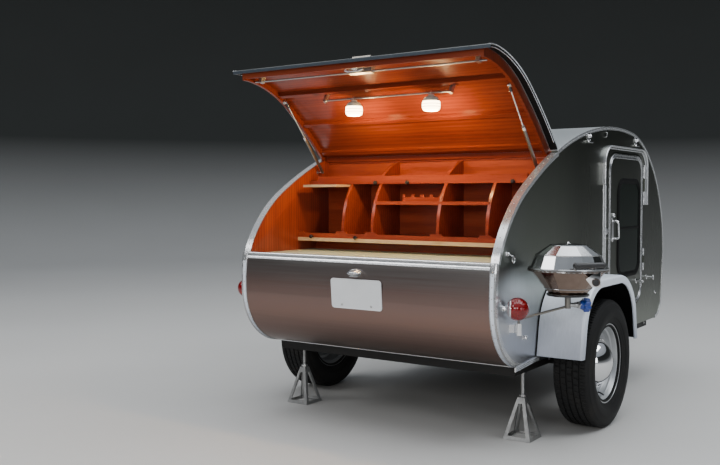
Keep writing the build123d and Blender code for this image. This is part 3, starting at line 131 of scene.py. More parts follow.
def opened(points):
    """Points of the closed hatch turned about its hinge by the open angle, in the upright plane."""
    x, z = points[..., 0] - HINGE[0], points[..., 2] - HINGE[1]
    across, rise = math.cos(HATCH_OPEN), math.sin(HATCH_OPEN)
    return np.stack([HINGE[0] + x * across + z * rise, points[..., 1], HINGE[1] - x * rise + z * across], -1)


# Shapes are (points, quads, end faces)

def weave(rows, loop=False):
    """Skin over closed rows of points: quads between neighbours, a face on each end unless they loop."""
    count, width = rows.shape[:2]
    i = np.arange(count if loop else count - 1)[:, None]
    j = np.arange(width)[None, :]
    after_i, after_j = (i + 1) % count, (j + 1) % width
    corners = (i * width + j, i * width + after_j, after_i * width + after_j, after_i * width + j)
    quads = np.stack(np.broadcast_arrays(*corners), -1).reshape(-1, 4)
    ends = [] if loop else [np.arange(width)[::-1], (count - 1) * width + np.arange(width)]
    return rows.reshape(-1, 3), quads, ends


def gather(*shapes):
    """One shape of several: points stacked, each shape's point numbers moved on by those before it."""
    starts = np.cumsum([0] + [len(points) for points, quads, ends in shapes])
    quads = np.concatenate([shape[1] + start for shape, start in zip(shapes, starts)])
    ends = [end + start for shape, start in zip(shapes, starts) for end in shape[2]]
    return np.concatenate([shape[0] for shape in shapes]), quads, ends


def moved(shape, change):
    """The shape with its points put through a function."""
    return change(shape[0]), shape[1], shape[2]


def both_sides(*shapes):
    """The shapes with their twins mirrored to the other side."""
    shape = gather(*shapes)
    return gather(shape, moved(shape, lambda points: points * MIRROR))


def unit(vectors):
    return vectors / np.maximum(np.linalg.norm(vectors, axis=-1, keepdims=True), 1e-12)


def circle(side, top, sides):
    """Points side cos t + top sin t: one ring, or a ring for each row of the two ways."""
    t = np.linspace(0, 2 * np.pi, sides, endpoint=False)[:, None]
    return np.cos(t) * side[..., None, :] + np.sin(t) * top[..., None, :]


def rod(path, radius, sides=10, loop=False):
    """A circle carried along a path, square to it."""
    path = np.asarray(path, float)
    run = unit(np.roll(path, -1, 0) - np.roll(path, 1, 0) if loop else np.gradient(path, axis=0))
    side = unit(np.cross(run, np.eye(3)[np.argmin(np.abs(run).mean(0))]))
    radius = np.broadcast_to(radius, len(path))[:, None, None]
    return weave(path[:, None] + radius * circle(side, np.cross(side, run), sides), loop=loop)


def turned(profile, origin, axis, sides=24, loop=False):
    """Lathe work: each profile point (along, radius) carried round the axis; a loop closes the profile."""
    axis, profile = unit(axis), np.asarray(profile)[:, None]
    side = unit(np.cross(axis, np.eye(3)[np.argmin(np.abs(axis))]))
    rows = origin + profile[..., :1] * axis + profile[..., 1:] * circle(side, np.cross(axis, side), sides)
    return weave(rows, loop=loop)


def filleted(corners, radius, loop=False, parts=8):
    """Line through flat corners with each one rounded by an arc of the given radius."""
    corners = np.asarray(corners, float)
    picked = range(len(corners)) if loop else range(1, len(corners) - 1)
    pieces = [] if loop else [corners[:1]]
    for at in picked:
        here = corners[at]
        back, on = unit(corners[at - 1] - here), unit(corners[(at + 1) % len(corners)] - here)
        half = math.acos(np.clip(back @ on, -1, 1)) / 2
        centre = here + unit(back + on) * radius / math.sin(half)
        first, last = here + back * radius / math.tan(half), here + on * radius / math.tan(half)
        share = np.linspace(0, 1, parts)[:, None]
        pieces.append(centre + radius * unit((first - centre) * (1 - share) + (last - centre) * share))
    return np.concatenate(pieces if loop else pieces + [corners[-1:]])


def rounded(width, height, radius, parts=8):
    """Rounded rectangle about the origin, counter-clockwise."""
    w, h = width / 2, height / 2
    corners = [(-w, -h), (w, -h), (w, h), (-w, h)]
    return filleted(corners, min(radius, w - 1e-5, h - 1e-5), loop=True, parts=parts)


def oval(width, height, sides=40):
    return circle(np.array([width / 2, 0.0]), np.array([0.0, height / 2]), sides)


def placed(flat, origin, right, up, out=0.0):
    """Flat points laid in a plane: origin + x right + y up + out along the plane's normal."""
    out = np.broadcast_to(out, flat.shape[:-1])[..., None]
    return origin + flat[..., :1] * right + flat[..., 1:] * up + out * np.cross(right, up)


def inset_way(flat):
    """Outward unit normal of a counter-clockwise flat outline at each point."""
    run = unit(np.roll(flat, -1, 0) - np.roll(flat, 1, 0))
    return np.stack([run[:, 1], -run[:, 0]], 1)


def stepped(flat, steps, origin, right, up):
    """Plate whose rim follows (inset, height) steps, closed by one face on each end."""
    way = inset_way(flat)
    return weave(np.stack([placed(flat - way * inset, origin, right, up, height) for inset, height in steps]))


def slab(flat, depth, origin, right, up, soft=0.0015):
    """Plate of a flat outline, both rims rounded: inset soft (1 - sin t) at a rise of soft (1 - cos t)."""
    t = np.linspace(0, np.pi / 2, 3)
    rim = soft * np.stack([1 - np.sin(t), 1 - np.cos(t)], 1)
    return stepped(flat, np.concatenate([rim, rim[::-1] * [1, -1] + [0, depth]]), origin, right, up)


def ring_moulding(flat, section, origin, right, up):
    """Section points (outward from the outline, height) carried round a closed flat outline."""
    spread = flat[:, None] + inset_way(flat)[:, None] * section[None, :, :1]
    height = np.broadcast_to(section[:, 1], spread.shape[:2])
    return weave(placed(spread, origin, right, up, height), loop=True)


def heads(centres, normals, radius, rise, sides=10):
    """Low domed screw heads: rings of radius r cos t at height rise sin t about each normal."""
    centres = np.atleast_2d(centres)
    normals = unit(np.broadcast_to(normals, centres.shape))
    side = unit(np.cross(normals, np.where(np.abs(normals[:, 2:]) < 0.9, Z, X)))
    rings = circle(side, np.cross(normals, side), sides)
    reach = radius * np.cos([0.0, 0.0, 0.6, 1.2])[:, None, None]
    high = np.array([-0.002, 0.2 * rise, rise * math.sin(0.6), rise])[:, None, None]
    return gather(*[
        weave(centre + reach * ring + high * normal)
        for centre, ring, normal in zip(centres, rings, normals)])


def edge_screws(turns, inset, y, radius, rise, sides=10):
    """Screw heads along the outline of both walls."""
    return both_sides(heads(along_side(turns, inset, y), outward(turns), radius, rise, sides))


def moulding(turns, section):
    """Section points (in from the right wall's face, out) carried along the side outline."""
    return weave(along_side(turns[:, None], -section[:, 1], WALL_Y + section[:, 0]))


def crossbar(turn, section, half, parts=2):
    """Section points (along the outline, out) at one turn, carried across the width."""
    outline = along_side(turn, 0.0, 0.0) + section[:, :1] * onward(turn) + section[:, 1:] * outward(turn)
    return weave(outline + np.linspace(-half, half, parts)[:, None, None] * Y)


def bar(section, starts, right, up):
    """Section points carried from one start to the next, in planes of the same two ways."""
    return weave(np.stack([placed(section, start, right, up) for start in starts]))


def arch(middle, width, rise, parts=7, power=1.0):
    """Half round (across, out): (middle - width / 2 cos t, rise sin t), the sine raised to a power."""
    t = np.linspace(0, np.pi, parts)
    return np.stack([middle - width / 2 * np.cos(t), rise * np.sin(t) ** power], 1)


def half_round(width, rise, middle=0.0):
    """Arch (across, out) closed a little under its base."""
    foot = [[middle + width / 2, -0.0008], [middle - width / 2, -0.0008]]
    return np.concatenate([arch(middle, width, rise, 9), foot])


def side_line(flat, y):
    """Flat (x, z) points set at one width."""
    return np.stack([flat[:, 0], np.full(len(flat), y), flat[:, 1]], 1)


def linked(name, data):
    """New object of the given data, in the scene."""
    made = bpy.data.objects.new(name, data)
    bpy.context.scene.collection.objects.link(made)
    return made


def piece(name, shape, finish, body=TRAILER, slot=None, replaces=(), sharp=35, smooth=0):
    """Puts a shape into the frame as a closed, outward-facing mesh that rides on a body."""
    points, quads, ends = shape
    mesh = bpy.data.meshes.new(name)
    mesh.from_pydata((points - BALL).tolist(), [], quads.tolist() + [end.tolist() for end in ends])
    work = bmesh.new()
    work.from_mesh(mesh)
    bmesh.ops.remove_doubles(work, verts=work.verts, dist=1e-6)
    bmesh.ops.dissolve_degenerate(work, edges=work.edges, dist=1e-7)
    bmesh.ops.recalc_face_normals(work, faces=work.faces)
    work.to_mesh(mesh)
    work.free()
    mesh.shade_smooth()
    mesh.set_sharp_from_angle(angle=math.radians(sharp))
    mesh.materials.append(finish)
    made = linked(name, mesh)
    if smooth:
        softened = made.modifiers.new("surface", "SUBSURF")
        softened.levels = softened.render_levels = smooth
    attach(made, body)
    if replaces:
        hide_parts(*replaces)


# Finishes

def fill(tree, pairs):
    """Gives each input its value, or a link where the value is another node's socket."""
    for socket, value in pairs:
        if isinstance(value, bpy.types.NodeSocket):
            tree.links.new(value, socket)
        else:
            socket.default_value = value


def node(tree, kind, **inputs):
    """New shader node with its inputs filled by name."""
    made = tree.nodes.new("ShaderNode" + kind)
    fill(tree, ((made.inputs[name.replace("_", " ")], value) for name, value in inputs.items()))
    return made


def maths(tree, operation, *values):
    """Result of a maths node of values and sockets."""
    made = tree.nodes.new("ShaderNodeMath")
    made.operation = operation
    fill(tree, zip(made.inputs, values))
    return made.outputs[0]


TEXTURES = {"noise": "TexNoise", "rings": "TexWave", "cells": "TexVoronoi"}


def noise(scale, detail, tone, polish, bump=0.0, stretch=(1, 1, 1)):
    """Layer of noise, with its shares of colour and roughness and its bump's height in millimetres."""
    return "noise", scale, stretch, detail, tone, polish, bump * 0.001


def slope(axis, low, high, tone):
    """Layer that grows from 0 to 1 between two stations on an axis."""
    return axis, low, high, 0, tone, 0, 0.0


def surface(name, tones, rough, *layers, metallic=0.0, **sockets):
    """Colour and roughness both follow a sum of textures in Object coordinates.

    The sum is 0.5, and share (value - 0.5) more for each texture.

    tones: colours from the sum's low end to its high end. rough: roughness at the two ends.
    layers: (texture, scale, stretch, detail, share of colour, share of roughness, bump's height), or slope().
    """
    made = bpy.data.materials.new(name)
    made.use_nodes = True
    tree = made.node_tree
    shader = tree.nodes["Principled BSDF"]
    shader.inputs["Metallic"].default_value = metallic
    fill(tree, ((shader.inputs[socket.replace("_", " ")], value) for socket, value in sockets.items()))
    place = node(tree, "TexCoord").outputs["Object"]
    tone = polish = 0.5
    normal = None
    for kind, scale, stretch, detail, tone_share, polish_share, bump in layers:
        spread = node(tree, "Mapping", Vector=place)
        if kind in ("X", "Z"):
            spread.inputs["Location"].default_value = BALL
            station = node(tree, "SeparateXYZ", Vector=spread.outputs[0]).outputs[kind]
            value = node(tree, "MapRange", Value=station, From_Min=scale, From_Max=stretch).outputs[0]
        else:
            spread.inputs["Scale"].default_value = [scale * part for part in stretch]
            texture = node(tree, TEXTURES[kind], Vector=spread.outputs[0], Scale=1.0, Detail=detail)
            value = texture.outputs["Distance" if kind == "cells" else "Fac"]
        if kind == "rings":
            fill(tree, ((texture.inputs["Distortion"], 6.0), (texture.inputs["Detail Scale"], 1.4)))
        centred = maths(tree, "SUBTRACT", value, 0.5)
        if tone_share:
            tone = maths(tree, "MULTIPLY_ADD", centred, tone_share, tone)
        if polish_share:
            polish = maths(tree, "MULTIPLY_ADD", centred, polish_share, polish)
        if bump:
            dent = node(tree, "Bump", Strength=1.0, Distance=bump, Height=value)
            if normal is not None:
                tree.links.new(normal, dent.inputs["Normal"])
            normal = dent.outputs[0]
    ramp = node(tree, "ValToRGB", Fac=tone)
    stops = ramp.color_ramp.elements
    for at, colour in zip(np.linspace(0, 1, len(tones)), tones):
        stop = stops[0] if at == 0 else stops[-1] if at == 1 else stops.new(at)
        stop.color = (*colour, 1.0)
    tree.links.new(ramp.outputs["Color"], shader.inputs["Base Color"])
    sheen = node(tree, "MapRange", Value=polish, To_Min=rough[0], To_Max=rough[1])
    tree.links.new(sheen.outputs[0], shader.inputs["Roughness"])
    if normal is not None:
        tree.links.new(normal, shader.inputs["Normal"])
    return made


UPRIGHT = (1, 1, 0.1)
# The two slopes paint reflection and shade into the colour: pale and bluish low down and towards the rear as
# a painted reflection of the pale floor, darker and olive higher up and towards the front as painted shade.
wall_metal_painted_reflection = surface(
    "mill_aluminium_walls",
    [(0.60, 0.62, 0.67), (0.50, 0.515, 0.53), (0.24, 0.255, 0.235), (0.200, 0.217, 0.182),
     (0.175, 0.190, 0.156), (0.095, 0.103, 0.082)], (0.22, 0.36),
    slope("Z", 0.20, 0.95, 0.8), slope("X", -0.74, 0.66, 0.88), noise(2.2, 2, 0.12, 0.5),
    noise(60, 3, 0.03, 0.4, stretch=(1, 1, 0.05)), noise(1.1, 1, 0, 0, 6.0), metallic=1.0)
# The height slope paints reflection into the colour: brownish and darker lower down, pale grey towards the
# top, as a painted reflection of the surroundings in the curved panel.
panel_metal_painted_reflection = surface(
    "brushed_rear_panel",
    [(0.165, 0.108, 0.090), (0.240, 0.158, 0.135), (0.230, 0.158, 0.141), (0.265, 0.257, 0.250)],
    (0.24, 0.38),
    slope("Z", 0.45, 0.87, 0.9), noise(1.6, 2, 0.2, 0.5, stretch=(1, 0.4, 1)),
    noise(150, 4, 0.25, 0.7, 0.02, (1, 0.01, 1)), noise(1.2, 1, 0, 0, 4.0), metallic=1.0)
roof_metal = surface(
    "roof_sheet", [(0.50, 0.53, 0.53), (0.64, 0.67, 0.67)], (0.30, 0.45),
    noise(2.0, 3, 0.5, 0.6), noise(120, 3, 0.4, 0.8, 0.04, (1, 0.02, 1)), metallic=1.0)
# The height slope paints a highlight: the colour is darker lower down and turns pale bluish white towards the
# top of the fenders and of the rear panel's edge strips.
fender_metal_painted_highlight = surface(
    "satin_fender_sheet", [(0.38, 0.41, 0.47), (0.56, 0.60, 0.68), (0.86, 0.92, 1.0)], (0.30, 0.44),
    slope("Z", 0.42, 0.64, 0.85), noise(4, 3, 0.2, 0.6), noise(90, 3, 0.3, 0.6, 0.03, (1, 1, 0.2)),
    metallic=0.12)
bright_metal = surface(
    "polished_moulding", [(0.62, 0.63, 0.64), (0.78, 0.79, 0.80)], (0.14, 0.30),
    noise(25, 3, 0.5, 0.8), noise(400, 2, 0, 0.4, 0.02, (1, 0.2, 1)), metallic=0.8)
dull_trim = surface(
    "dulled_moulding", [(0.36, 0.36, 0.37), (0.52, 0.53, 0.54)], (0.20, 0.36),
    noise(25, 3, 0.5, 0.8), noise(400, 2, 0, 0.4, 0.02, (1, 0.2, 1)), metallic=1.0)
band_blue = surface(
    "dark_rim_band", [(0.018, 0.026, 0.036), (0.045, 0.060, 0.078)], (0.3, 0.5),
    noise(40, 3, 0.6, 0.6, 0.03), Coat_Weight=0.2)
chrome = surface(
    "chrome", [(0.72, 0.72, 0.73), (0.86, 0.86, 0.87)], (0.03, 0.12),
    noise(40, 3, 0.4, 0.6), noise(700, 1, 0, 0.5, 0.01), metallic=1.0)
steel = surface(
    "zinc_plated_steel", [(0.34, 0.34, 0.34), (0.58, 0.58, 0.57)], (0.28, 0.5),
    noise(35, 4, 0.8, 0.8, 0.03), noise(260, 2, 0.3, 0.4, 0.02, UPRIGHT), metallic=1.0)
bowl_steel = surface(
    "heat_tinted_steel", [(0.16, 0.110, 0.085), (0.30, 0.225, 0.185)], (0.08, 0.20),
    noise(24, 3, 0.7, 0.7), noise(500, 2, 0.2, 0.5, 0.02, UPRIGHT), metallic=1.0)
strut_satin = surface(
    "strut_cylinder_metal", [(0.17, 0.16, 0.145), (0.30, 0.28, 0.25)], (0.25, 0.40),
    noise(40, 3, 0.6, 0.7, 0.02), metallic=0.9)
grill_steel = surface(
    "polished_grill_steel", [(0.46, 0.46, 0.46), (0.64, 0.65, 0.66)], (0.10, 0.22),
    noise(30, 3, 0.4, 0.7), noise(500, 2, 0.2, 0.5, 0.02, UPRIGHT), metallic=1.0)
wheel_silver = surface(
    "silver_wheel_paint", [(0.40, 0.41, 0.42), (0.54, 0.55, 0.56)], (0.28, 0.42),
    noise(18, 4, 0.7, 0.7), noise(1800, 1, 0.3, 0.3, 0.01),
    metallic=0.6, Coat_Weight=0.4, Coat_Roughness=0.15)
chassis_black = surface(
    "chassis_paint", [(0.004, 0.004, 0.004), (0.014, 0.013, 0.012)], (0.40, 0.66),
    noise(14, 5, 0.9, 0.9, 0.1), noise(260, 2, 0.2, 0.3, 0.05), Specular_IOR_Level=0.3)
strut_black = surface(
    "strut_paint", [(0.010, 0.010, 0.011), (0.022, 0.022, 0.024)], (0.18, 0.3),
    noise(60, 3, 0.6, 0.7, 0.01), Coat_Weight=0.5)
rubber = surface(
    "seal_rubber", [(0.004, 0.004, 0.004), (0.012, 0.012, 0.012)], (0.45, 0.7),
    noise(30, 4, 0.7, 0.7, 0.1), noise(900, 1, 0.2, 0.3, 0.03), Specular_IOR_Level=0.08)
tyre_rubber = surface(
    "tyre_rubber", [(0.007, 0.007, 0.007), (0.012, 0.012, 0.012), (0.034, 0.031, 0.027)], (0.55, 0.85),
    noise(9, 5, 0.7, 0.6, 0.2), noise(300, 3, 0.4, 0.4, 0.08), Specular_IOR_Level=0.2)
counter_top = surface(
    "pale_green_laminate", [(0.52, 0.62, 0.43), (0.62, 0.71, 0.52), (0.70, 0.78, 0.62)], (0.22, 0.4),
    noise(5, 4, 0.5, 0.6), noise(420, 2, 0.6, 0.3, 0.02))
light_wood = surface(
    "light_maple", [(0.34, 0.20, 0.09), (0.56, 0.38, 0.20), (0.68, 0.50, 0.30)], (0.25, 0.42),
    ("rings", 9, (6, 0.6, 6), 3, 0.5, 0.3, 0.0), noise(70, 4, 0.9, 0.6, 0.08, (8, 0.4, 8)),
    Coat_Weight=0.35, Coat_Roughness=0.12)
floor_paint = surface(
    "painted_floor_underside", [(0.012, 0.011, 0.010), (0.05, 0.045, 0.04)], (0.5, 0.8),
    noise(9, 5, 0.9, 0.7, 0.2))
pale_plate = surface(
    "white_plate_enamel", [(0.66, 0.68, 0.70), (0.78, 0.79, 0.80)], (0.16, 0.32),
    noise(18, 4, 0.7, 0.8, 0.03), Coat_Weight=0.5, Coat_Roughness=0.08)
# The glass is kept nearly opaque and dark: its colour is painted shade of the cabin behind it.
pane = surface(
    "pane_painted_cabin_shade", [(0.003, 0.005, 0.004), (0.008, 0.013, 0.009)], (0.02, 0.06),
    noise(3, 2, 0.6, 0.5, 0.2), Specular_IOR_Level=0.07, Alpha=0.97)
red_lens = surface(
    "red_lens", [(0.10, 0.0004, 0.001), (0.27, 0.002, 0.004)], (0.05, 0.12),
    ("cells", 130, (1, 1, 1), 0, 0.8, 0.4, 0.00012), Coat_Weight=0.3, Coat_Roughness=0.05)
black_plastic = surface(
    "black_plastic", [(0.012, 0.012, 0.013), (0.028, 0.028, 0.030)], (0.28, 0.45),
    noise(90, 3, 0.6, 0.6, 0.03))
blue_plastic = surface(
    "blue_knob_plastic", [(0.006, 0.030, 0.20), (0.012, 0.060, 0.36)], (0.22, 0.4),
    noise(70, 3, 0.7, 0.6, 0.04), Coat_Weight=0.3)
lantern_grey = surface(
    "lantern_cap_plastic", [(0.30, 0.29, 0.25), (0.42, 0.40, 0.35)], (0.35, 0.5),
    noise(60, 3, 0.6, 0.6, 0.03))
lantern_glow = surface(
    "lantern_glow", [(0.90, 0.82, 0.66), (1.0, 0.93, 0.80)], (0.3, 0.4), noise(40, 2, 0.5, 0.5),
    Emission_Color=(1.0, 0.78, 0.46, 1.0), Emission_Strength=14.0)
PLY_TONES = np.array([(0.11, 0.014, 0.007), (0.195, 0.031, 0.012), (0.30, 0.056, 0.019)])


def varnished(name, grain, painted_light_gain):
    """Red-brown plywood under clear varnish: slow rings and fine pores drawn out along the grain."""
    long_way = [0.35 if axis == grain else 7.0 for axis in "xyz"]
    fine_way = [0.25 if axis == grain else 9.0 for axis in "xyz"]
    return surface(
        name, painted_light_gain * PLY_TONES, (0.22, 0.38), ("rings", 2.2, long_way, 3, 0.30, 0.0, 0.0),
        noise(3.0, 5, 0.7, 0.3, stretch=long_way), noise(45, 3, 0.5, 0.8, 0.03, fine_way),
        Coat_Weight=0.15, Coat_Roughness=0.14, Specular_IOR_Level=0.25)


# The same ply at three brightnesses, painted light and shade: darkest, as painted shade, on the hatch's
# lining and ribs, which face down, and lighter on the bulkhead, shelves and side linings.
wood_lining = varnished("varnished_hatch_ply", "y", 0.78)
wood_across = varnished("varnished_ply_across", "y", 1.25)
wood_upright = varnished("varnished_ply_upright", "z", 1.4)

NODE_FINISH = {
    wall_metal_painted_reflection: ("side_wall_left", "side_wall_right", "door_left", "door_right"),
    panel_metal_painted_reflection: ("rear_panel",),
    roof_metal: ("roof_shell", "hatch_skin"),
    fender_metal_painted_highlight: ("fenders",),
    bright_metal: ("edge_trims", "hatch_hinge", "drip_rails", "door_hinges"),
    chrome: ("strut_rods", "grill_socket"),
    steel: ("coupler", "jack_tube", "jack_leg", "stands", "hatch_latch", "lantern_rail", "strut_studs_low",
            "strut_studs_high"),
    grill_steel: ("grill_lid",),
    bowl_steel: ("grill_bowl",),
    chassis_black: ("frame_rails", "cross_members", "tongue", "axle"),
    strut_satin: ("strut_cylinders", "hatch_handle", "grill_arm"),
    rubber: ("hatch_seal",),
    counter_top: ("counter",),
    light_wood: ("pull_out_board",),
    floor_paint: ("floor_board",),
    pane: ("window_glass_left", "window_glass_right"),
    wood_across: ("bulkhead", "upper_shelf", "galley_riser", "cubby_unit"),
    wood_lining: ("hatch_lining", "hatch_ribs"),
}
for finish, names in NODE_FINISH.items():
    for name in names:
        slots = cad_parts[name].data.materials
        slots.clear()
        slots.append(finish)

# Camera: focal length in picture widths, heading and tilt
FOCAL = 886.7 / 720
YAW, PITCH = math.radians(34.75), math.radians(-2.34)
CAMERA_AT = np.array([-4.507, -2.520, 1.203])
camera = linked("camera", bpy.data.cameras.new("camera"))
camera.data.sensor_width = 36.0
camera.data.lens = FOCAL * camera.data.sensor_width
look = Vector((math.cos(PITCH) * math.cos(YAW), math.cos(PITCH) * math.sin(YAW), math.sin(PITCH)))
camera.rotation_euler = look.to_track_quat("-Z", "Y").to_euler()
camera.location = CAMERA_AT - BALL
bpy.context.scene.camera = camera


def hatch_piece(name, shape, finish, **more):
    """Piece drawn on the closed hatch and turned open with it."""
    piece(name, moved(shape, opened), finish, "hatch", **more)


# Hatch rim: bright beads along the sides and the lower edge, and a dark band between them
hatch_turns = headings(202.6, HATCH_END_TURN - 0.52, 0.03)
RIM_BAND = mm((-2, 7.2), (0.1, 6), (0.6, 2), (0.8, -4), (0.6, -9), (-2, -10))


def rim_line(inset, y):
    """Up one side of the hatch, across its lower edge, and back along the other side."""
    side = along_side(hatch_turns, inset, y)
    across = side[-1] * (X + Z) + np.linspace(y, -y, 26)[1:-1, None] * Y
    return np.concatenate([side, across, side[::-1] * MIRROR])


hatch_piece("hatch_rim_beads", gather(
    rod(rim_line(-0.0062, HALF), 0.0032, 8), rod(rim_line(0.0068, HALF - 0.002), 0.0020, 8)), bright_metal)
hatch_piece("hatch_rim_band", crossbar(HATCH_END_TURN, RIM_BAND, HALF - 0.001), band_blue)
hatch_piece("hatch_side_screws", both_sides(heads(
    along_side(headings(204.5, 251.5, 0.085), HATCH_SKIN, WALL_Y + 0.012), Z, 0.0032, 0.0012)), steel)

# Latch in the middle of the hatch's lower edge, and its two thin rods
LATCH_TURN = 241.5
LATCH_PLATE = mm((0, -1), (0, 3), (2, 5), (6, 5.5), (8, 4), (12, 4))
LATCH_CUP = mm((0, 1), (0, 24), (10, 24), (16, 19), (24, 16), (28, 10), (29, 1))
LATCH_GRIP = mm((-55, 22), (-30, 30), (30, 30), (55, 22))
latch_down, latch_in = onward(LATCH_TURN), -outward(LATCH_TURN)
latch_at = along_side(LATCH_TURN, LINING, 0.015)
rod_at = along_side(240.2, 0.023, 0.0)
hatch_piece("latch_rods", gather(
    rod(rod_at + np.linspace(-0.66, 0.66, 3)[:, None] * Y, 0.004, 8),
    *[slab(rounded(0.030, 0.022, 0.004), 0.010, rod_at + y * Y - 0.008 * latch_in, Y, latch_down)
      for y in (-0.60, -0.33, 0.33, 0.60)]), steel)
hatch_piece("latch_plate", gather(
    stepped(oval(0.170, 0.062), LATCH_PLATE, latch_at, Y, latch_down),
    turned(LATCH_CUP, latch_at, latch_in, 28),
    rod(latch_at + filleted(LATCH_GRIP, 0.02) @ np.array([Y, latch_in]), 0.006, 10)), chrome)
hatch_piece("latch_screws", heads(
    [latch_at + y * Y + 0.0045 * latch_in for y in (-0.068, 0.068)], latch_in, 0.004, 0.0015), steel)

# Lanterns hung on their rail: glowing jar, ribbed cap, wire hanger and guard
RAIL = opened(along_side(217.6, 0.062, 0.0))
JAR = mm((0, 1), (0, 40), (4, 43.5), (12, 45.5), (30, 45.5), (40, 43), (47, 37), (50, 28), (50.5, 1))
CAP = mm(
    (0, 1), (0, 14), (4, 17), (9, 18), (11, 28), (16, 34), (18, 33.5), (20, 38), (24, 38.5), (25.5, 37.5),
    (27, 41), (32, 41.5), (34, 40), (34, 1))
wire_turn = np.linspace(-0.3, 2 * np.pi - 0.3, 16)[:, None]


def lantern_spots(drop):
    """Stations below the rail, one for each lantern."""
    return [RAIL + y * Y - drop * Z for y in LANTERN_Y]


def wires(spots, radius, up, thickness, sides):
    """Wire rings round the spots, in the plane of x and another way."""
    ring = radius * (np.cos(wire_turn) * X + np.sin(wire_turn) * up)
    return gather(*[rod(spot + ring, thickness, sides, loop=True) for spot in spots])


piece("lantern_jars", gather(*[
    turned(JAR, spot, -Z, 40) for spot in lantern_spots(0.041)]), lantern_glow, "hatch")
piece("lantern_caps", gather(*[
    turned(CAP, spot, -Z, 40) for spot in lantern_spots(0.008)]), lantern_grey, "hatch",
      replaces=["lanterns"])
piece("lantern_hangers", wires(lantern_spots(0.0), 0.0085, Z, 0.0018, 8), steel, "hatch")
piece("lantern_guards", wires(
    lantern_spots(0.056) + lantern_spots(0.070), 0.0462, Y, 0.0014, 6), steel, "hatch")

# Struts: ball sockets and collars
STRUT_LOW, STRUT_TOP = np.array([-0.2788, -0.684, 1.3452]), np.array([-0.6169, -0.684, 1.7330])
SOCKET = mm((12, 4.4), (12, 5.6), (16, 7.5), (28, 7.5), (34, 9.5), (36, 8.5), (36, 4.4))
COLLAR = mm(
    (244, 1), (244, 9.8), (247, 10.4), (250, 9.8), (253.5, 10.4), (257, 9.8), (264, 9.4), (266, 7), (266, 1))
strut_way = unit(STRUT_TOP - STRUT_LOW)
for name, body, start, way in (
        ("strut_sockets_low", "strut_cylinders", STRUT_LOW, strut_way),
        ("strut_sockets_high", "strut_rods", STRUT_TOP, -strut_way)):
    piece(name, both_sides(turned(SOCKET, start, way, 24, loop=True)), strut_black, body)
piece("strut_collars", both_sides(turned(COLLAR, STRUT_LOW, strut_way, 28)), chrome, "strut_cylinders")

# Galley: ply linings on the side walls, trim screws, catches, knobs and edge bands
COUNTER = 0.892
BULKHEAD = -0.168
CATCH = mm((0, 1), (0, 12), (4, 12.5), (10, 10.5), (14, 6.5), (14.5, 1))
KNOB = mm((0, 1), (0, 6), (8, 5), (12, 10), (18, 11.5), (22, 9), (23.5, 1))
lining = np.concatenate([
    [[BULKHEAD, COUNTER], [BULKHEAD, edge(202.0, 0.014)[1]]],
    edge(headings(202.0, PANEL_TURN, 0.03), 0.0145), [[-0.862, COUNTER]]])
nosing_x = edge(PANEL_TURN - 1.2, 0.026)[0] + 0.004
piece("galley_side_linings", both_sides(slab(lining, 0.0022, 0.7242 * Y, X, Z, soft=0.0003)), wood_upright)
piece("wall_cap_screws", edge_screws(headings(203.5, 250.8, 0.06), SEAT, -0.743, 0.0033, 0.0016), steel)
piece("fascia_catches", gather(*[
    turned(CATCH, [-0.354, y, 1.279], -X, 24) for y in (0.255, 0.045, -0.585)]), black_plastic)
piece("cubby_knobs", gather(*[
    turned(KNOB, [-0.4605, y, 0.972], -X, 24) for y in (0.62, 0.31, -0.60)]), strut_black)
piece("left_bay_strip", slab(rounded(0.236, 0.014, 0.003), 0.150, [-0.345, 0.545, 1.262], -Y, Z), light_wood)
piece("counter_nosing", slab(
    rounded(2 * INNER - 0.006, 0.010, 0.0045), 0.012, [nosing_x, 0, COUNTER + 0.0035], -Y, Z), bright_metal)
piece("upper_shelf_stop", slab(
    rounded(2 * INNER - 0.02, 0.012, 0.004), 0.007, [-0.170, 0, 1.405], -Y, Z), wood_across)

# Rear panel: top cap, edge mouldings and corner brackets
PANEL_CAP = mm(
    (-1.5, -22), (-3, -10), (-3, 0), (-1.2, 3), (3, 4.2), (8, 3.6), (10, 2.4), (26, 2.2), (28, 3.4),
    (31, 3.4), (33, 2), (33, -1), (4, -1), (0, -22))
STRIP = mm((10, -0.8), (10, 1.1), (27, 1.1), (27, -0.8))
BRACKET = mm((0, -1), (0, 5.2), (2, 6), (30, 6), (32, 5), (32, -1))
panel_turns = headings(PANEL_TURN + 0.6, 356.0, 0.03)
bracket_turns = np.linspace(PANEL_TURN + 0.1, PANEL_TURN + 8.0, 9)
piece("panel_cap", crossbar(PANEL_TURN, PANEL_CAP, HALF - 0.001), bright_metal)
piece("panel_edge_mouldings", both_sides(
    moulding(panel_turns, half_round(0.009, 0.0040, 0.0055)),
    moulding(panel_turns, half_round(0.006, 0.0030, 0.0300))), dull_trim)
piece("panel_edge_strips", both_sides(moulding(panel_turns, STRIP)), fender_metal_painted_highlight)
piece("panel_strip_screws", edge_screws(
    headings(PANEL_TURN + 6, 345.0, 0.075), -0.0011, WALL_Y + 0.0185, 0.0030, 0.0014), steel)
piece("panel_corner_brackets", both_sides(moulding(bracket_turns, BRACKET)), bright_metal)
piece("panel_bracket_screws", edge_screws(
    PANEL_TURN + np.array([2.0, 6.4]), -0.0060, WALL_Y + 0.016, 0.0042, 0.0020), steel)
piece("panel_foot_moulding", crossbar(351.0, half_round(0.016, 0.0045), HALF - 0.034), bright_metal)

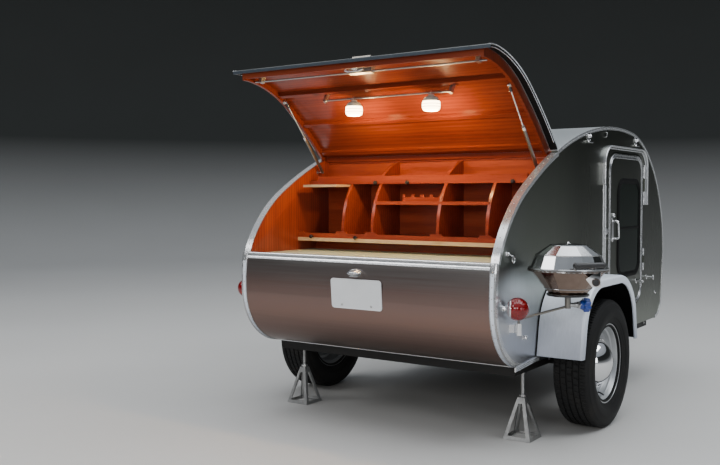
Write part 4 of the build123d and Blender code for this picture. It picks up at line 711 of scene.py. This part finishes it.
# Number plate, left blank, and its lamp
PLATE_LEAN, PLATE_Z = math.radians(4.8), 0.716
PLATE_RIM = mm((0, 0), (0, 2.4), (0.8, 3.4), (3, 3.6), (4.2, 3), (5.2, 2.2), (12, 2.1))
LAMP_SHELL = mm(
    (4, -28), (0, -20), (0, 7), (1.5, 9), (3.5, 9.5), (4.5, 13), (5.5, 22), (8.5, 28), (12.5, 31.5),
    (16.5, 32.5))
plate_up = math.cos(PLATE_LEAN) * Z - math.sin(PLATE_LEAN) * X
plate_out = np.cross(-Y, plate_up)
plate_touch = along_side(274.8, 0.0, 0.0)
plate_at = plate_touch + plate_up * (PLATE_Z - plate_touch[2]) / plate_up[2]
lamp_at = plate_at + 0.108 * plate_up
piece("number_plate_blank", stepped(
    rounded(0.305, 0.152, 0.016, 12), PLATE_RIM, plate_at, -Y, plate_up), pale_plate,
      replaces=["number_plate"])
piece("plate_screws", heads(
    [plate_at + y * Y - 0.056 * plate_up + 0.002 * plate_out for y in (0.088, -0.088)],
    plate_out, 0.0062, 0.0030, 16), steel)
piece("number_lamp_shell", stepped(oval(0.082, 0.038, 48), LAMP_SHELL, lamp_at, -Y, plate_up), dull_trim,
      slot="chrome", replaces=["number_lamp"], smooth=1)
piece("number_lamp_ridge", rod(
    lamp_at + 0.031 * plate_out + np.linspace(-0.024, 0.024, 9)[:, None] * Y, 0.0035, 10), chrome)
piece("number_lamp_window", slab(
    rounded(0.046, 0.016, 0.004), 0.0012, lamp_at - 0.0166 * plate_up + 0.014 * plate_out,
    -Y, -plate_out), pale_plate)

# Fenders: piping against the wall, a rolled lip round the wheel opening, and a dark liner
FENDER = mm((-460, 420.5), (-395, 788), (323, 788), (388, 420.5))
OPENING = mm((-424.5, 420.5), (-359, 752), (287, 752), (352.5, 420.5))
LINER = mm((-460, 421.5), (-395, 788), (323, 788), (388, 421.5))
FENDER_R, OPENING_R = 0.265, 0.229
INWARDS = np.array([[1, 0], [1, -1], [-1, -1], [-1, 0]])


def liner_line(inset, y):
    """The liner's outline drawn in by a distance, at one width."""
    return side_line(filleted(LINER + inset * INWARDS, FENDER_R - inset, parts=20), y)


piece("fender_piping", both_sides(rod(
    side_line(filleted(FENDER, FENDER_R, parts=20), WALL_Y - 0.0015), 0.0040, 8)), rubber)
piece("fender_lips", both_sides(rod(
    side_line(filleted(OPENING, OPENING_R, parts=20), -0.9932), 0.0065, 12)), fender_metal_painted_highlight)
piece("fender_foot_screws", both_sides(heads(
    [[x, -0.790, 0.4235] for x in (-0.452, 0.380)], -Z, 0.005, 0.002)), steel)
piece("fender_liners", both_sides(weave(np.stack([
    liner_line(0.0036, -0.764), liner_line(0.0036, -0.985), liner_line(0.0052, -0.985),
    liner_line(0.0052, -0.764)], 1))), rubber)

# Tail lamps: ribbed glass ball in a chrome cup on a short stalk
LAMP, LAMP_R = np.array([-0.800, -0.820, 0.690]), 0.053
LAMP_WAY = unit(np.array([0.028, -0.060, 0.0]))
RIB, RIB_COUNT = 0.0006, 34
CUP = mm(
    (-62, 0.5), (-62, 12), (-55, 12.5), (-50, 18), (-44, 29), (-38, 37.5), (-34, 42), (-31, 43.5),
    (-28.5, 43.2), (-33, 39.5), (-40, 0.5))
t = np.linspace(0, 0.80 * np.pi, 48)
ribbed = (LAMP_R - RIB + RIB * np.sin(RIB_COUNT * t)) * np.sin(t)
lens = np.stack([LAMP_R * np.cos(t), np.maximum(ribbed, 0.0002)], 1)
piece("tail_lamp_lenses", both_sides(turned(lens, LAMP, LAMP_WAY, 48)), red_lens, replaces=["lamp_lenses"])
piece("tail_lamp_cups", both_sides(
    turned(CUP, LAMP, LAMP_WAY, 40),
    slab(oval(0.028, 0.028, 28), 0.004, [-0.826, WALL_Y + 0.0005, 0.690], X, Z)), chrome,
      replaces=["lamp_stalks"])

# Small fittings on the side walls
REAR_KNOB = mm((-1, 0.5), (-1, 12), (2, 12.5), (4, 8), (10, 8), (14, 11.5), (19, 10.5), (22, 6), (22.8, 0.5))
FRONT_KNOB = mm((-1, 0.5), (-1, 11), (3, 10.5), (6, 7), (7.2, 0.5))
CATCH_STUD = mm((0, 0.5), (0, 8.5), (10, 8.5), (13, 6), (14.5, 0.5))
CATCH_HOOK = mm((0, -12), (12, -20), (30, -20), (36, -12))
AWNING_STUD = mm((0, 0.5), (0, 9), (12, 8), (16, 4), (16.5, 0.5))
AWNING_HOOK = mm((0, 14), (-12, 14), (-12, -14), (0, -14))
SILL = mm((0, 0), (0, 6), (3, 8.5), (6, 6), (8, 6), (11, 8.5), (14, 6), (16, 6), (19, 8.5), (22, 6), (22, 0))
catch_at = np.array([-0.793, WALL_Y, 0.938])
sill = np.array([[-0.700, WALL_Y, 0.3775], [-0.430, WALL_Y, 0.3960]])


def awning_fitting(x, z):
    """Screwed plate with a stud, over a small ledge."""
    at = np.array([x, WALL_Y, z])
    screws = [at + a * X - 0.0025 * Y + (0.006 + b) * Z for a in (-0.019, 0.019) for b in (-0.016, 0.016)]
    return gather(
        slab(rounded(0.052, 0.046, 0.006), 0.003, at + 0.0005 * Y + 0.006 * Z, X, Z),
        slab(rounded(0.070, 0.012, 0.005), 0.016, at + 0.0005 * Y - 0.022 * Z, X, Z),
        turned(AWNING_STUD, at - 0.002 * Y + 0.010 * Z, -Y, 20), heads(screws, -Y, 0.0035, 0.0016))


piece("side_knobs", both_sides(
    turned(REAR_KNOB, [-0.608, WALL_Y, 0.531], -Y, 28),
    turned(FRONT_KNOB, [1.505, WALL_Y, 0.560], -Y, 24)), chrome)
piece("hatch_side_catches", both_sides(
    slab(rounded(0.030, 0.022, 0.006), 0.003, catch_at + 0.0005 * Y, X, Z),
    turned(CATCH_STUD, catch_at, -Y, 20),
    rod(catch_at + filleted(CATCH_HOOK, 0.006, parts=6) @ np.array([0.83 * X - 0.56 * Z, Y]), 0.0032, 10),
    rod(catch_at + [0.038, -0.016, -0.026] + circle(0.013 * X, 0.016 * Z, 24), 0.0026, 8, loop=True)), chrome)
piece("awning_fittings", both_sides(awning_fitting(0.237, 1.524), awning_fitting(1.058, 1.540)), chrome)
piece("awning_hooks", both_sides(rod(
    filleted(AWNING_HOOK, 0.008) @ np.array([Y, 0.25 * X + Z]) + [0.500, WALL_Y + 0.001, 1.556],
    0.0028, 8)), steel)
piece("sill_strip", bar(SILL, sill, np.cross(unit(sill[1] - sill[0]), Y), -Y), bright_metal)

# Doors, windows and their frames, once for each side
DOOR, DOOR_SIZE, DOOR_R = (0.890, 0.995), (0.640, 0.930), 0.112
WINDOW, WINDOW_SIZE, WINDOW_R = (0.943, 1.010), (0.432, 0.607), 0.098
HANDLE = np.array([0.640, 1.005])
DOUBLE_BEAD = np.concatenate([
    arch(-0.0265, 0.011, 0.0052), mm((-19, 1.2)), arch(-0.0105, 0.011, 0.0052), mm((-4, -0.8), (-33, -0.8))])
RUBBER_FRAME = np.concatenate([arch(-0.013, 0.026, 0.0065, 11, power=0.7), mm((0, -3), (-26, -3))])
INNER_BEAD = np.concatenate([arch(-0.0300, 0.0084, 0.0042, 11), mm((-25.8, -3), (-34.2, -3))])
HANDLE_PLATE = mm((0, -1), (0, 2.5), (1.5, 4), (4, 4.5))
HANDLE_LOOP = filleted(mm((2, 52), (36, 52), (40, -50), (2, -56)), 0.016, parts=9)
LOCK = mm((0, 0.5), (0, 12.5), (10, 12.5), (13, 11), (13.5, 8.5), (11.5, 7.5), (11.5, 0.5))
HOLDBACK = mm((-1, 0.5), (-1, 16), (3, 15.5), (6, 9))
HOLDBACK_NECK = 0.0075
HINGE_SCREWS = [(1.228, z) for z in (1.170, 1.230, 1.320, 1.380, 0.750, 0.850)]


def on_wall(side, flat, out=0.0):
    """Flat (x, z) points at a distance out of the wall of the right (-1) or left (1) side."""
    flat = np.asarray(flat, float)
    y = side * (HALF + np.broadcast_to(out, flat[..., 0].shape))
    return np.stack([flat[..., 0], y, flat[..., 1]], -1)


for side, word in SIDES:
    door, right, away = "door_" + word, -side * X, side * Y
    window, window_at = rounded(*WINDOW_SIZE, WINDOW_R, 16), on_wall(side, WINDOW)
    piece("door_edge_moulding_" + word, ring_moulding(
        rounded(*DOOR_SIZE, DOOR_R, 14), DOUBLE_BEAD, on_wall(side, DOOR), right, Z), dull_trim, door)
    piece("window_rubber_" + word, ring_moulding(window, RUBBER_FRAME, window_at, right, Z), rubber, door,
          replaces=["window_frame_" + word])
    piece("window_inner_bead_" + word, ring_moulding(window, INNER_BEAD, window_at, right, Z), rubber, door)
    piece("window_bar_" + word, slab(
        rounded(WINDOW_SIZE[0] - 0.05, 0.016, 0.004), 0.006, on_wall(side, WINDOW, -0.0035), right, Z),
        rubber, door)
    piece("door_handle_plate_" + word, gather(
        stepped(rounded(0.034, 0.142, 0.016), HANDLE_PLATE, on_wall(side, HANDLE), right, Z),
        turned(LOCK, on_wall(side, HANDLE + [0, 0.086]), away, 28)), chrome, door,
        replaces=["door_handle_" + word])
    piece("door_handle_loop_" + word, rod(
        on_wall(side, HANDLE + HANDLE_LOOP[:, 1:] * [0, 1], HANDLE_LOOP[:, 0]), 0.0062, 14), chrome, door)
    piece("door_striker_" + word, gather(
        slab(rounded(0.030, 0.040, 0.005), 0.006, on_wall(side, (0.532, 1.002), -0.0005), right, Z),
        rod(on_wall(side, [(0.522, 1.002), (0.545, 1.002)], 0.011), 0.004, 10)), chrome)
    piece("hinge_screws_" + word, heads(on_wall(side, HINGE_SCREWS, 0.0042), away, 0.0032, 0.0015), steel)
    for name, body, at, neck, plate, plate_out_by, depth in (
            ("door_holdback_", door, (1.100, 0.667), 0.034, (0.034, 0.016, 0.006), 0.033, 0.012),
            ("wall_holdback_", TRAILER, (1.312, 0.676), 0.040, (0.020, 0.030, 0.007), 0.038, 0.010)):
        post = np.concatenate([HOLDBACK, [[neck - 0.004, HOLDBACK_NECK], [neck, HOLDBACK_NECK]]])
        piece(name + word, gather(
            turned(post, on_wall(side, at), away, 24),
            slab(rounded(*plate), depth, on_wall(side, at, plate_out_by), right, Z)), chrome, body)

# Jamb strip behind each door, under the drip rail, and the rail's own beads
JAMB = np.concatenate([
    arch(0.484, 0.013, 0.0050), mm((494, 1.6), (508, 1.6)), arch(0.518, 0.013, 0.0050),
    mm((524.5, -0.8), (477.5, -0.8))])
DRIP_REAR, DRIP_FRONT, DRIP_TOP, DRIP_R = 0.468, 1.262, 1.494, 0.114


def drip_line(inset, y):
    """Line of the drip rail round a door's top, drawn in by a distance, at one width."""
    rear, front, top = DRIP_REAR + inset, DRIP_FRONT - inset, DRIP_TOP - inset
    corners = [(rear, 1.272), (rear, top), (front, top), (front, 1.149)]
    return side_line(filleted(corners, DRIP_R - inset, parts=16), y)


piece("door_jamb_strips", both_sides(bar(
    JAMB, [[0, WALL_Y, z] for z in (0.760, 1.268)], X, -Y)), bright_metal)
piece("drip_rail_beads", both_sides(
    rod(drip_line(0.0, WALL_Y - 0.0160), 0.0048, 10),
    rod(drip_line(0.012, WALL_Y - 0.0035), 0.0034, 8)), bright_metal)

# Wheels: tyres with five ribs, stepped rims, domed caps
TYRE_R, TREAD_HALF, CROWN = 0.334, 0.0735, 0.0022
GROOVES, GROOVE_HALF, GROOVE_EDGE, GROOVE_DEPTH = (-0.0480, -0.0165, 0.0165, 0.0480), 0.0040, 0.0008, 0.008
LONG_CUT, SHORT_CUT, CUT_SPAN = 0.0045, 0.0030, 0.17
SIDEWALL = mm(
    (79, 328.5), (85, 324.5), (86.2, 322.5), (85, 320.5), (90.5, 312), (93.5, 309), (97, 296), (100, 282),
    (101, 280.5), (101.8, 279), (102.5, 266), (101.5, 252), (98.5, 240), (97.5, 238.5), (95, 237),
    (90.5, 225), (89, 224), (87, 215), (84.5, 209.5), (77, 208.5), (76, 190.5))
RIM = mm(
    (75.5, 208.5), (77.5, 207), (78.2, 204.5), (77.5, 202), (74.5, 200), (68, 196.5), (65, 190.5),
    (61.5, 188), (43, 186.2), (39.5, 184.5), (37, 180), (35, 177), (18, 173.5), (14, 171.5), (11, 164),
    (12, 156), (16, 150), (24, 144), (28.5, 138), (30, 130), (30, 95), (30, 42), (25, 42), (25, 129),
    (20, 138), (8, 150), (6, 164), (-10, 169), (-56, 174), (-64, 184), (-72, 196),
    (-78, 204.5), (-75.5, 208.5), (-69, 200), (-56, 188),
    (-30, 180), (10, 179), (35, 183), (40, 192), (60, 194.5), (68, 201))
CAP_R, CAP_RISE, CAP_FOOT = 0.120, 0.070, 0.031
CAP_EDGE = mm((32.5, 122.5), (34, 124.5), (33.2, 126.2), (31, 126.2), (30, 124), (30, 0.2))
VALVE = mm((0, 28, -158), (0, 40, -160), (0, 52, -166), (0, 62, -171))
cap_ball = (CAP_R ** 2 + CAP_RISE ** 2) / (2 * CAP_RISE)
t = np.linspace(0, math.asin(CAP_R / cap_ball), 22)
dome = np.stack([
    CAP_FOOT + CAP_RISE - cap_ball * (1 - np.cos(t)), np.maximum(cap_ball * np.sin(t), 0.0002)], 1)


def tread_profile():
    """(y, radius, rib, raised) over the crown: the radius drops inside each groove; rib counts the ribs."""
    stations = [-TREAD_HALF, -0.066, -0.058]
    for groove in GROOVES:
        stations += [groove + way * GROOVE_HALF + on * GROOVE_EDGE for way in (-1, 1) for on in (-1, 1)]
        stations += [groove + 0.0110, groove + 0.0190] if groove < GROOVES[-1] else []
    y = np.array(stations + [0.058, 0.066, TREAD_HALF])
    deep = np.any(np.abs(y[:, None] - np.array(GROOVES)) < GROOVE_HALF, 1)
    crown = TYRE_R - CROWN * (y / TREAD_HALF) ** 2
    return y, crown - GROOVE_DEPTH * deep, np.searchsorted(GROOVES, y), ~deep


def tyre(steps=720, pitches=60):
    """Closed ring of profile rows; a rib's radius drops inside its cuts, which repeat round the tyre."""
    y, radius, rib, raised = tread_profile()
    angle = np.linspace(0, 2 * np.pi, steps, endpoint=False)[:, None]
    phase = (angle * pitches / (2 * np.pi) + 0.37 * rib + 4.0 * y) % 1.0
    long_cut = (phase < CUT_SPAN) & raised
    short_cut = (phase > 0.5) & (phase < 0.5 + CUT_SPAN) & raised & (np.abs(y) > 0.045)
    walls = np.concatenate([SIDEWALL, SIDEWALL[::-1] * [-1, 1]])
    tread = radius - (LONG_CUT * long_cut + SHORT_CUT * short_cut)
    reach = np.concatenate([tread, np.broadcast_to(walls[:, 1], (steps, len(walls)))], 1)
    across = np.broadcast_to(np.concatenate([y, walls[:, 0]]), reach.shape)
    return weave(np.stack([reach * np.cos(angle), across, reach * np.sin(angle)], -1), loop=True)


for side, word in SIDES:
    hub, away, wheel = np.array([0.0, side * (HALF + 0.124), TYRE_R]), side * Y, "wheel_" + word
    piece("tyre_tread_" + word, moved(tyre(), lambda points: points + hub), tyre_rubber, wheel,
          replaces=["tyre_" + word], sharp=28)
    piece("wheel_rim_" + word, turned(RIM, hub, away, 96, loop=True), wheel_silver, wheel,
          replaces=["rim_" + word])
    piece("wheel_cap_" + word, turned(np.concatenate([dome, CAP_EDGE]), hub, away, 72), chrome, wheel,
          replaces=["hub_cap_" + word])
    piece("tyre_valve_" + word, rod(
        hub + VALVE * [1, side, 1], [0.004, 0.0045, 0.004, 0.003], 10), black_plastic, wheel, slot="seal")

# Stands: angle legs with cut-out sides, threaded screws and nuts
STAND = np.array([-0.450, -0.690, 0.0])
LEG_OUTER = mm((-70.8, 1), (70.8, 1), (17.8, 205), (-17.8, 205))
LEG_INNER = mm((-48, 18), (48, 18), (9.5, 176), (-9.5, 176))
LEG_SHEET = 0.0016
THREAD_POINTS, THREAD_R, THREAD_DEPTH = 63, 0.0080, 0.0009
leg_foot, leg_low = LEG_OUTER[1]
leg_slope = (leg_foot - LEG_OUTER[2, 0]) / (LEG_OUTER[2, 1] - leg_low)
thread = np.stack([
    np.linspace(0.210, 0.334, THREAD_POINTS),
    THREAD_R + THREAD_DEPTH * (-1.0) ** np.arange(THREAD_POINTS)], 1)
thread = np.concatenate([[[0.209, 0.0005]], thread, [[0.3345, 0.0005]]])
hexagon = oval(0.034, 0.034, 6)


def leg_side(way):
    """The stand's sloping side that faces a way: its outer outline and its cut-out, in thin sheet."""
    rows = []
    for flat, out in ((LEG_OUTER, LEG_SHEET), (LEG_OUTER, 0.0), (LEG_INNER, 0.0), (LEG_INNER, LEG_SHEET)):
        reach = leg_foot - (flat[:, 1:] - leg_low) * leg_slope + out
        rows.append(STAND + way * reach + np.cross(Z, way) * flat[:, :1] + Z * flat[:, 1:])
    return weave(np.stack(rows), loop=True)


piece("stand_screws", both_sides(turned(thread, STAND, Z, 20)), steel)
piece("stand_angle_sides", both_sides(*[leg_side(way) for way in (X, -X, Y, -Y)]), steel)
piece("stand_nuts", both_sides(
    slab(hexagon, 0.012, STAND + 0.207 * Z, X, Y, soft=0.001),
    slab(hexagon, 0.008, STAND + 0.324 * Z, X, Y, soft=0.001)), steel)

# Grill: seams, rim beads, knob and grip
GRILL = np.array([-0.600, -0.980, 0.0])
LID_Z = 0.8685
FACETS = 16
LID_KNOB = mm((0, 0.5), (0, 20), (2, 20), (4, 8), (7, 7.5), (9, 4), (9.5, 0.5))
BASE_DISC = mm((0, 0.5), (0, 95), (2, 97.5), (7, 98), (9.5, 96), (10, 90), (10, 0.5))
GRIP = mm(
    (-68, 0.5), (-68, 11.2), (-64, 12), (-50, 13), (-20, 12.2), (20, 12.2), (50, 13), (64, 12),
    (68, 11.2), (68, 0.5))
GRIP_END = mm((0, 0.5), (0, 10.8), (3, 13.4), (8, 13.8), (12, 11.4), (14.8, 10.05), (14.9, 0.5))
GRIP_POST = mm((0, 0.5), (0, 5.2), (50, 5.2), (54, 9), (56, 9), (56.5, 0.5))
CONTROL_PLATE = mm((-45, 33), (7, -33), (45, -33), (45, 33))
BURNER_KNOB = mm((1, 0.5), (1, 18.5), (5, 19), (18, 17.5), (22.5, 14.5), (23, 0.5))


def grill_ring(radius, height, thickness, sides=8, corners=FACETS):
    """Closed bead round the grill at one height, with corners like its facets."""
    return rod(GRILL + circle(radius * X, radius * Y, corners) + height * Z, thickness, sides, loop=True)


def about_stem(turn, out, along, height):
    """Point, outward way and sideways way of a fitting turned round the grill's stem, in degrees."""
    angle = math.radians(turn)
    away = np.array([math.sin(angle), -math.cos(angle), 0.0])
    sideways = np.cross(Z, away)
    return GRILL + away * out + sideways * along + height * Z, away, sideways


grip_at, grip_out, grip_way = about_stem(-40, 0.196, 0.0, LID_Z + 0.030)
control_at, control_out, control_way = about_stem(-72, 0.1185, 0.105, 0.831)
knob_at = about_stem(-72, 0.118, 0.130, 0.820)[0]
piece("grill_rim_bead", grill_ring(0.1838, 0.864, 0.0040, 10, 24), grill_steel, "grill", smooth=1)
piece("grill_lid_bead", grill_ring(0.1825, LID_Z + 0.005, 0.0034, 10, 24), grill_steel, "grill_lid", smooth=1)
piece("grill_lid_seams", gather(
    grill_ring(0.1480, LID_Z + 0.066, 0.0022),
    grill_ring(0.0840, LID_Z + 0.110, 0.0022)), grill_steel, "grill_lid")
piece("grill_bowl_seam", grill_ring(0.1085, 0.780, 0.0016), grill_steel, "grill")
piece("grill_lid_knob", turned(LID_KNOB, GRILL + (LID_Z + 0.116) * Z, Z, 24), chrome, "grill_lid")
piece("grill_base_disc", turned(BASE_DISC, GRILL + 0.7438 * Z, Z, 64), strut_black, "grill")
piece("grill_lid_grip", turned(GRIP, grip_at, grip_way, 28), black_plastic, "grill_lid")
piece("grill_grip_ends", gather(*[
    turned(GRIP_END, grip_at + 0.0632 * way, way, 24)
    for way in (-grip_way, grip_way)]), black_plastic, "grill_lid")
piece("grill_grip_posts", gather(*[
    turned(GRIP_POST, grip_at + 0.052 * way, -grip_out, 20)
    for way in (-grip_way, grip_way)]), chrome, "grill_lid")
piece("control_bracket_plate", slab(
    CONTROL_PLATE, 0.0045, control_at - 0.0035 * control_out, control_way, Z, soft=0.0008), chrome, "grill")
piece("burner_knob", gather(
    turned(BURNER_KNOB, knob_at, control_out, 28),
    slab(rounded(0.006, 0.030, 0.002), 0.005, knob_at + 0.0225 * control_out, control_way, Z)),
      black_plastic, "grill")

# Gas valve at the foot of the grill, with its star knob
GAS = GRILL + 0.700 * Z
GAS_VALVE = mm((10, 0.5), (10, 10.5), (30, 10.5), (31, 13), (44, 13), (45, 10.5), (60, 10.5), (61, 0.5))
REGULATOR = mm((56, 0.5), (56, 17), (64, 22), (74, 22), (76, 0.5))
STAR_RIM = mm((3, 0), (0, 2), (0, 24), (2, 28), (6, 30.5))
STAR_R, STAR_WAVE, STAR_LOBES = 0.0300, 0.0036, 7
gas_turn = math.radians(-50)
gas_way = math.cos(gas_turn) * X + math.sin(gas_turn) * Y
gas_side = np.cross(Z, gas_way)
t = np.linspace(0, 2 * np.pi, 96, endpoint=False)
star = (STAR_R + STAR_WAVE * np.cos(STAR_LOBES * t))[:, None] * np.stack([np.cos(t), np.sin(t)], 1)
piece("gas_fittings", gather(
    turned(GAS_VALVE, GAS, gas_way, 24),
    slab(oval(0.036, 0.036, 6), 0.014, GAS + 0.046 * gas_way, gas_side, Z, soft=0.001)), steel, "grill")
piece("gas_regulator_knob", gather(
    turned(REGULATOR, GAS, gas_way, 32),
    stepped(star, STAR_RIM, GAS + 0.0735 * gas_way, gas_side, Z)), blue_plastic, "grill")

# Roof: wooden strip over the sheet's end inside the galley, lap seams, and screws in the edge trims
END_STRIP = mm((-1, -4.2), (1.2, -4.2), (1.2, -30.8), (-1, -30.8))
LAP = mm((-20, -0.5), (-19, 1), (19, 1), (20, -0.5))
LAP_TURNS = (88.0, 178.0)
rivets = np.linspace(-HALF + 0.045, HALF - 0.045, 31)[:, None] * Y


def rivet_row(turn, along):
    """Rivets across the roof beside a lap seam."""
    start = along_side(turn, 0.0, 0.0) + along * onward(turn) + 0.0008 * outward(turn)
    return heads(start + rivets, outward(turn), 0.0032, 0.0014, 8)


piece("roof_end_strip", crossbar(HINGE_TURN, END_STRIP, INNER - 0.001), wood_across)
piece("roof_lap_seams", gather(*[crossbar(turn, LAP, HALF - 0.022, 3) for turn in LAP_TURNS]), roof_metal)
piece("roof_seam_rivets", gather(*[
    rivet_row(turn, along) for turn in LAP_TURNS for along in (-0.012, 0.012)]), steel)
piece("roof_trim_screws", edge_screws(
    headings(12, 200, 0.10), -0.0001, WALL_Y + 0.010, 0.0036, 0.0014, 8), steel)
piece("roof_edge_beads", both_sides(rod(
    along_side(headings(14, 200, 0.03), 0.0105, WALL_Y - 0.0004), 0.0026, 8)), bright_metal)

# Frame bolts, and the grip and bands of the jack on the drawbar
JACK_GRIP = mm((0, 0.5), (0, 12), (4, 14), (30, 15), (75, 13.5), (88, 14.5), (92, 12), (92, 0.5))


def tube_band(height, width):
    """Band round the jack's tube, its width in millimetres."""
    section = mm((0, 27), (0, 30.5), (2, 31), (width - 2, 31), (width, 30.5), (width, 27))
    return turned(section, [2.250, 0, height], Z, 40, loop=True)


piece("frame_bolts", both_sides(heads(
    [[x, -0.716, 0.360] for x in (-0.540, -0.180, 0.450, 0.950, 1.420)], -Y, 0.008, 0.005, 6)), steel)
piece("jack_grip", turned(JACK_GRIP, [2.104, 0, 0.772], Z, 28), black_plastic)
piece("jack_tube_bands", gather(tube_band(0.752, 14), tube_band(0.345, 18)), steel)


# Stage and light

def backdrop():
    """Round floor that turns up at its rim: flat to 12 m, then a quarter curve of 9 m."""
    bend = np.linspace(0.1, np.pi / 2, 14)
    reach = np.concatenate([[0.02, 2.0, 5.0, 9.0, 12.0], 12 + 9 * np.sin(bend)])
    rise = np.concatenate([np.zeros(5), 9 * (1 - np.cos(bend))])
    return weave(reach[:, None, None] * circle(X, Y, 96) + rise[:, None, None] * Z)


def studio_paint():
    """Pale floor that darkens with height up the backdrop, with a faint mottle."""
    made = surface(
        "studio_paint", [(0.50, 0.49, 0.47), (0.58, 0.57, 0.55)], (0.55, 0.75),
        noise(0.6, 4, 0.5, 0.6), noise(30, 4, 0.3, 0.4, 0.2))
    tree = made.node_tree
    colour = tree.nodes["Principled BSDF"].inputs["Base Color"]
    floor_tone = colour.links[0].from_socket
    height = node(tree, "SeparateXYZ", Vector=node(tree, "TexCoord").outputs["Object"]).outputs["Z"]
    climb = node(tree, "MapRange", Value=height, From_Min=-0.45, From_Max=2.2).outputs[0]
    shade = node(tree, "Mix")
    shade.data_type = "RGBA"
    shade.blend_type = "MULTIPLY"
    fill(tree, zip(shade.inputs[6:8], (floor_tone, (0.05, 0.055, 0.048, 1.0))))
    tree.links.new(climb, shade.inputs[0])
    tree.links.new(shade.outputs[2], colour)
    return made


points, quads, ends = backdrop()
floor_mesh = bpy.data.meshes.new("studio_floor")
floor_mesh.from_pydata((points - BALL).tolist(), [], quads.tolist() + [ends[0].tolist()])
floor_mesh.shade_smooth()
floor_mesh.materials.append(studio_paint())
linked("studio_floor", floor_mesh)


def softbox(name, place, target, width, height, watts, colour=(1.0, 1.0, 1.0)):
    """Rectangular lamp at a station, aimed at another."""
    light = bpy.data.lights.new(name, "AREA")
    light.shape = "RECTANGLE"
    light.size, light.size_y, light.energy, light.color = width, height, watts, colour
    made = linked(name, light)
    made.location = place - BALL
    made.rotation_euler = (Vector(target) - Vector(place)).to_track_quat("-Z", "Y").to_euler()


softbox("sky_softbox", (-0.5, -0.5, 7.5), (0.2, 0, 0.8), 9.0, 7.0, 520, (0.94, 0.97, 1.0))
softbox("rear_left_softbox", (-6.5, 4.5, 5.2), (-0.3, 0, 0.9), 4.0, 2.0, 150)
softbox("side_softbox", (1.5, -6.0, 7.5), (0.0, -0.9, 0.8), 5.0, 2.5, 260, (0.92, 0.96, 1.0))
softbox("side_low_softbox", (-3.5, -7.5, 1.9), (0.4, -0.8, 0.9), 1.6, 2.6, 70, (0.94, 0.97, 1.0))
softbox("rear_fill_softbox", (-8.0, -1.5, 2.6), (-0.5, 0, 1.1), 3.0, 2.0, 170)
for spot in lantern_spots(0.115):
    bulb = bpy.data.lights.new("lantern_light", "POINT")
    bulb.energy, bulb.color, bulb.shadow_soft_size = 12.0, (1.0, 0.60, 0.22), 0.03
    linked("lantern_light", bulb).location = spot - BALL

world = bpy.data.worlds.new("studio")
world.use_nodes = True
bpy.context.scene.world = world
sky = world.node_tree
height = node(sky, "SeparateXYZ", Vector=node(sky, "TexCoord").outputs["Generated"]).outputs["Z"]
fade = node(sky, "ValToRGB", Fac=height)
low, high = fade.color_ramp.elements
low.color = (0.045, 0.052, 0.042, 1)
high.position = 0.7
high.color = (0.74, 0.80, 0.88, 1)
sky.links.new(fade.outputs["Color"], sky.nodes["Background"].inputs["Color"])
sky.nodes["Background"].inputs["Strength"].default_value = 0.6
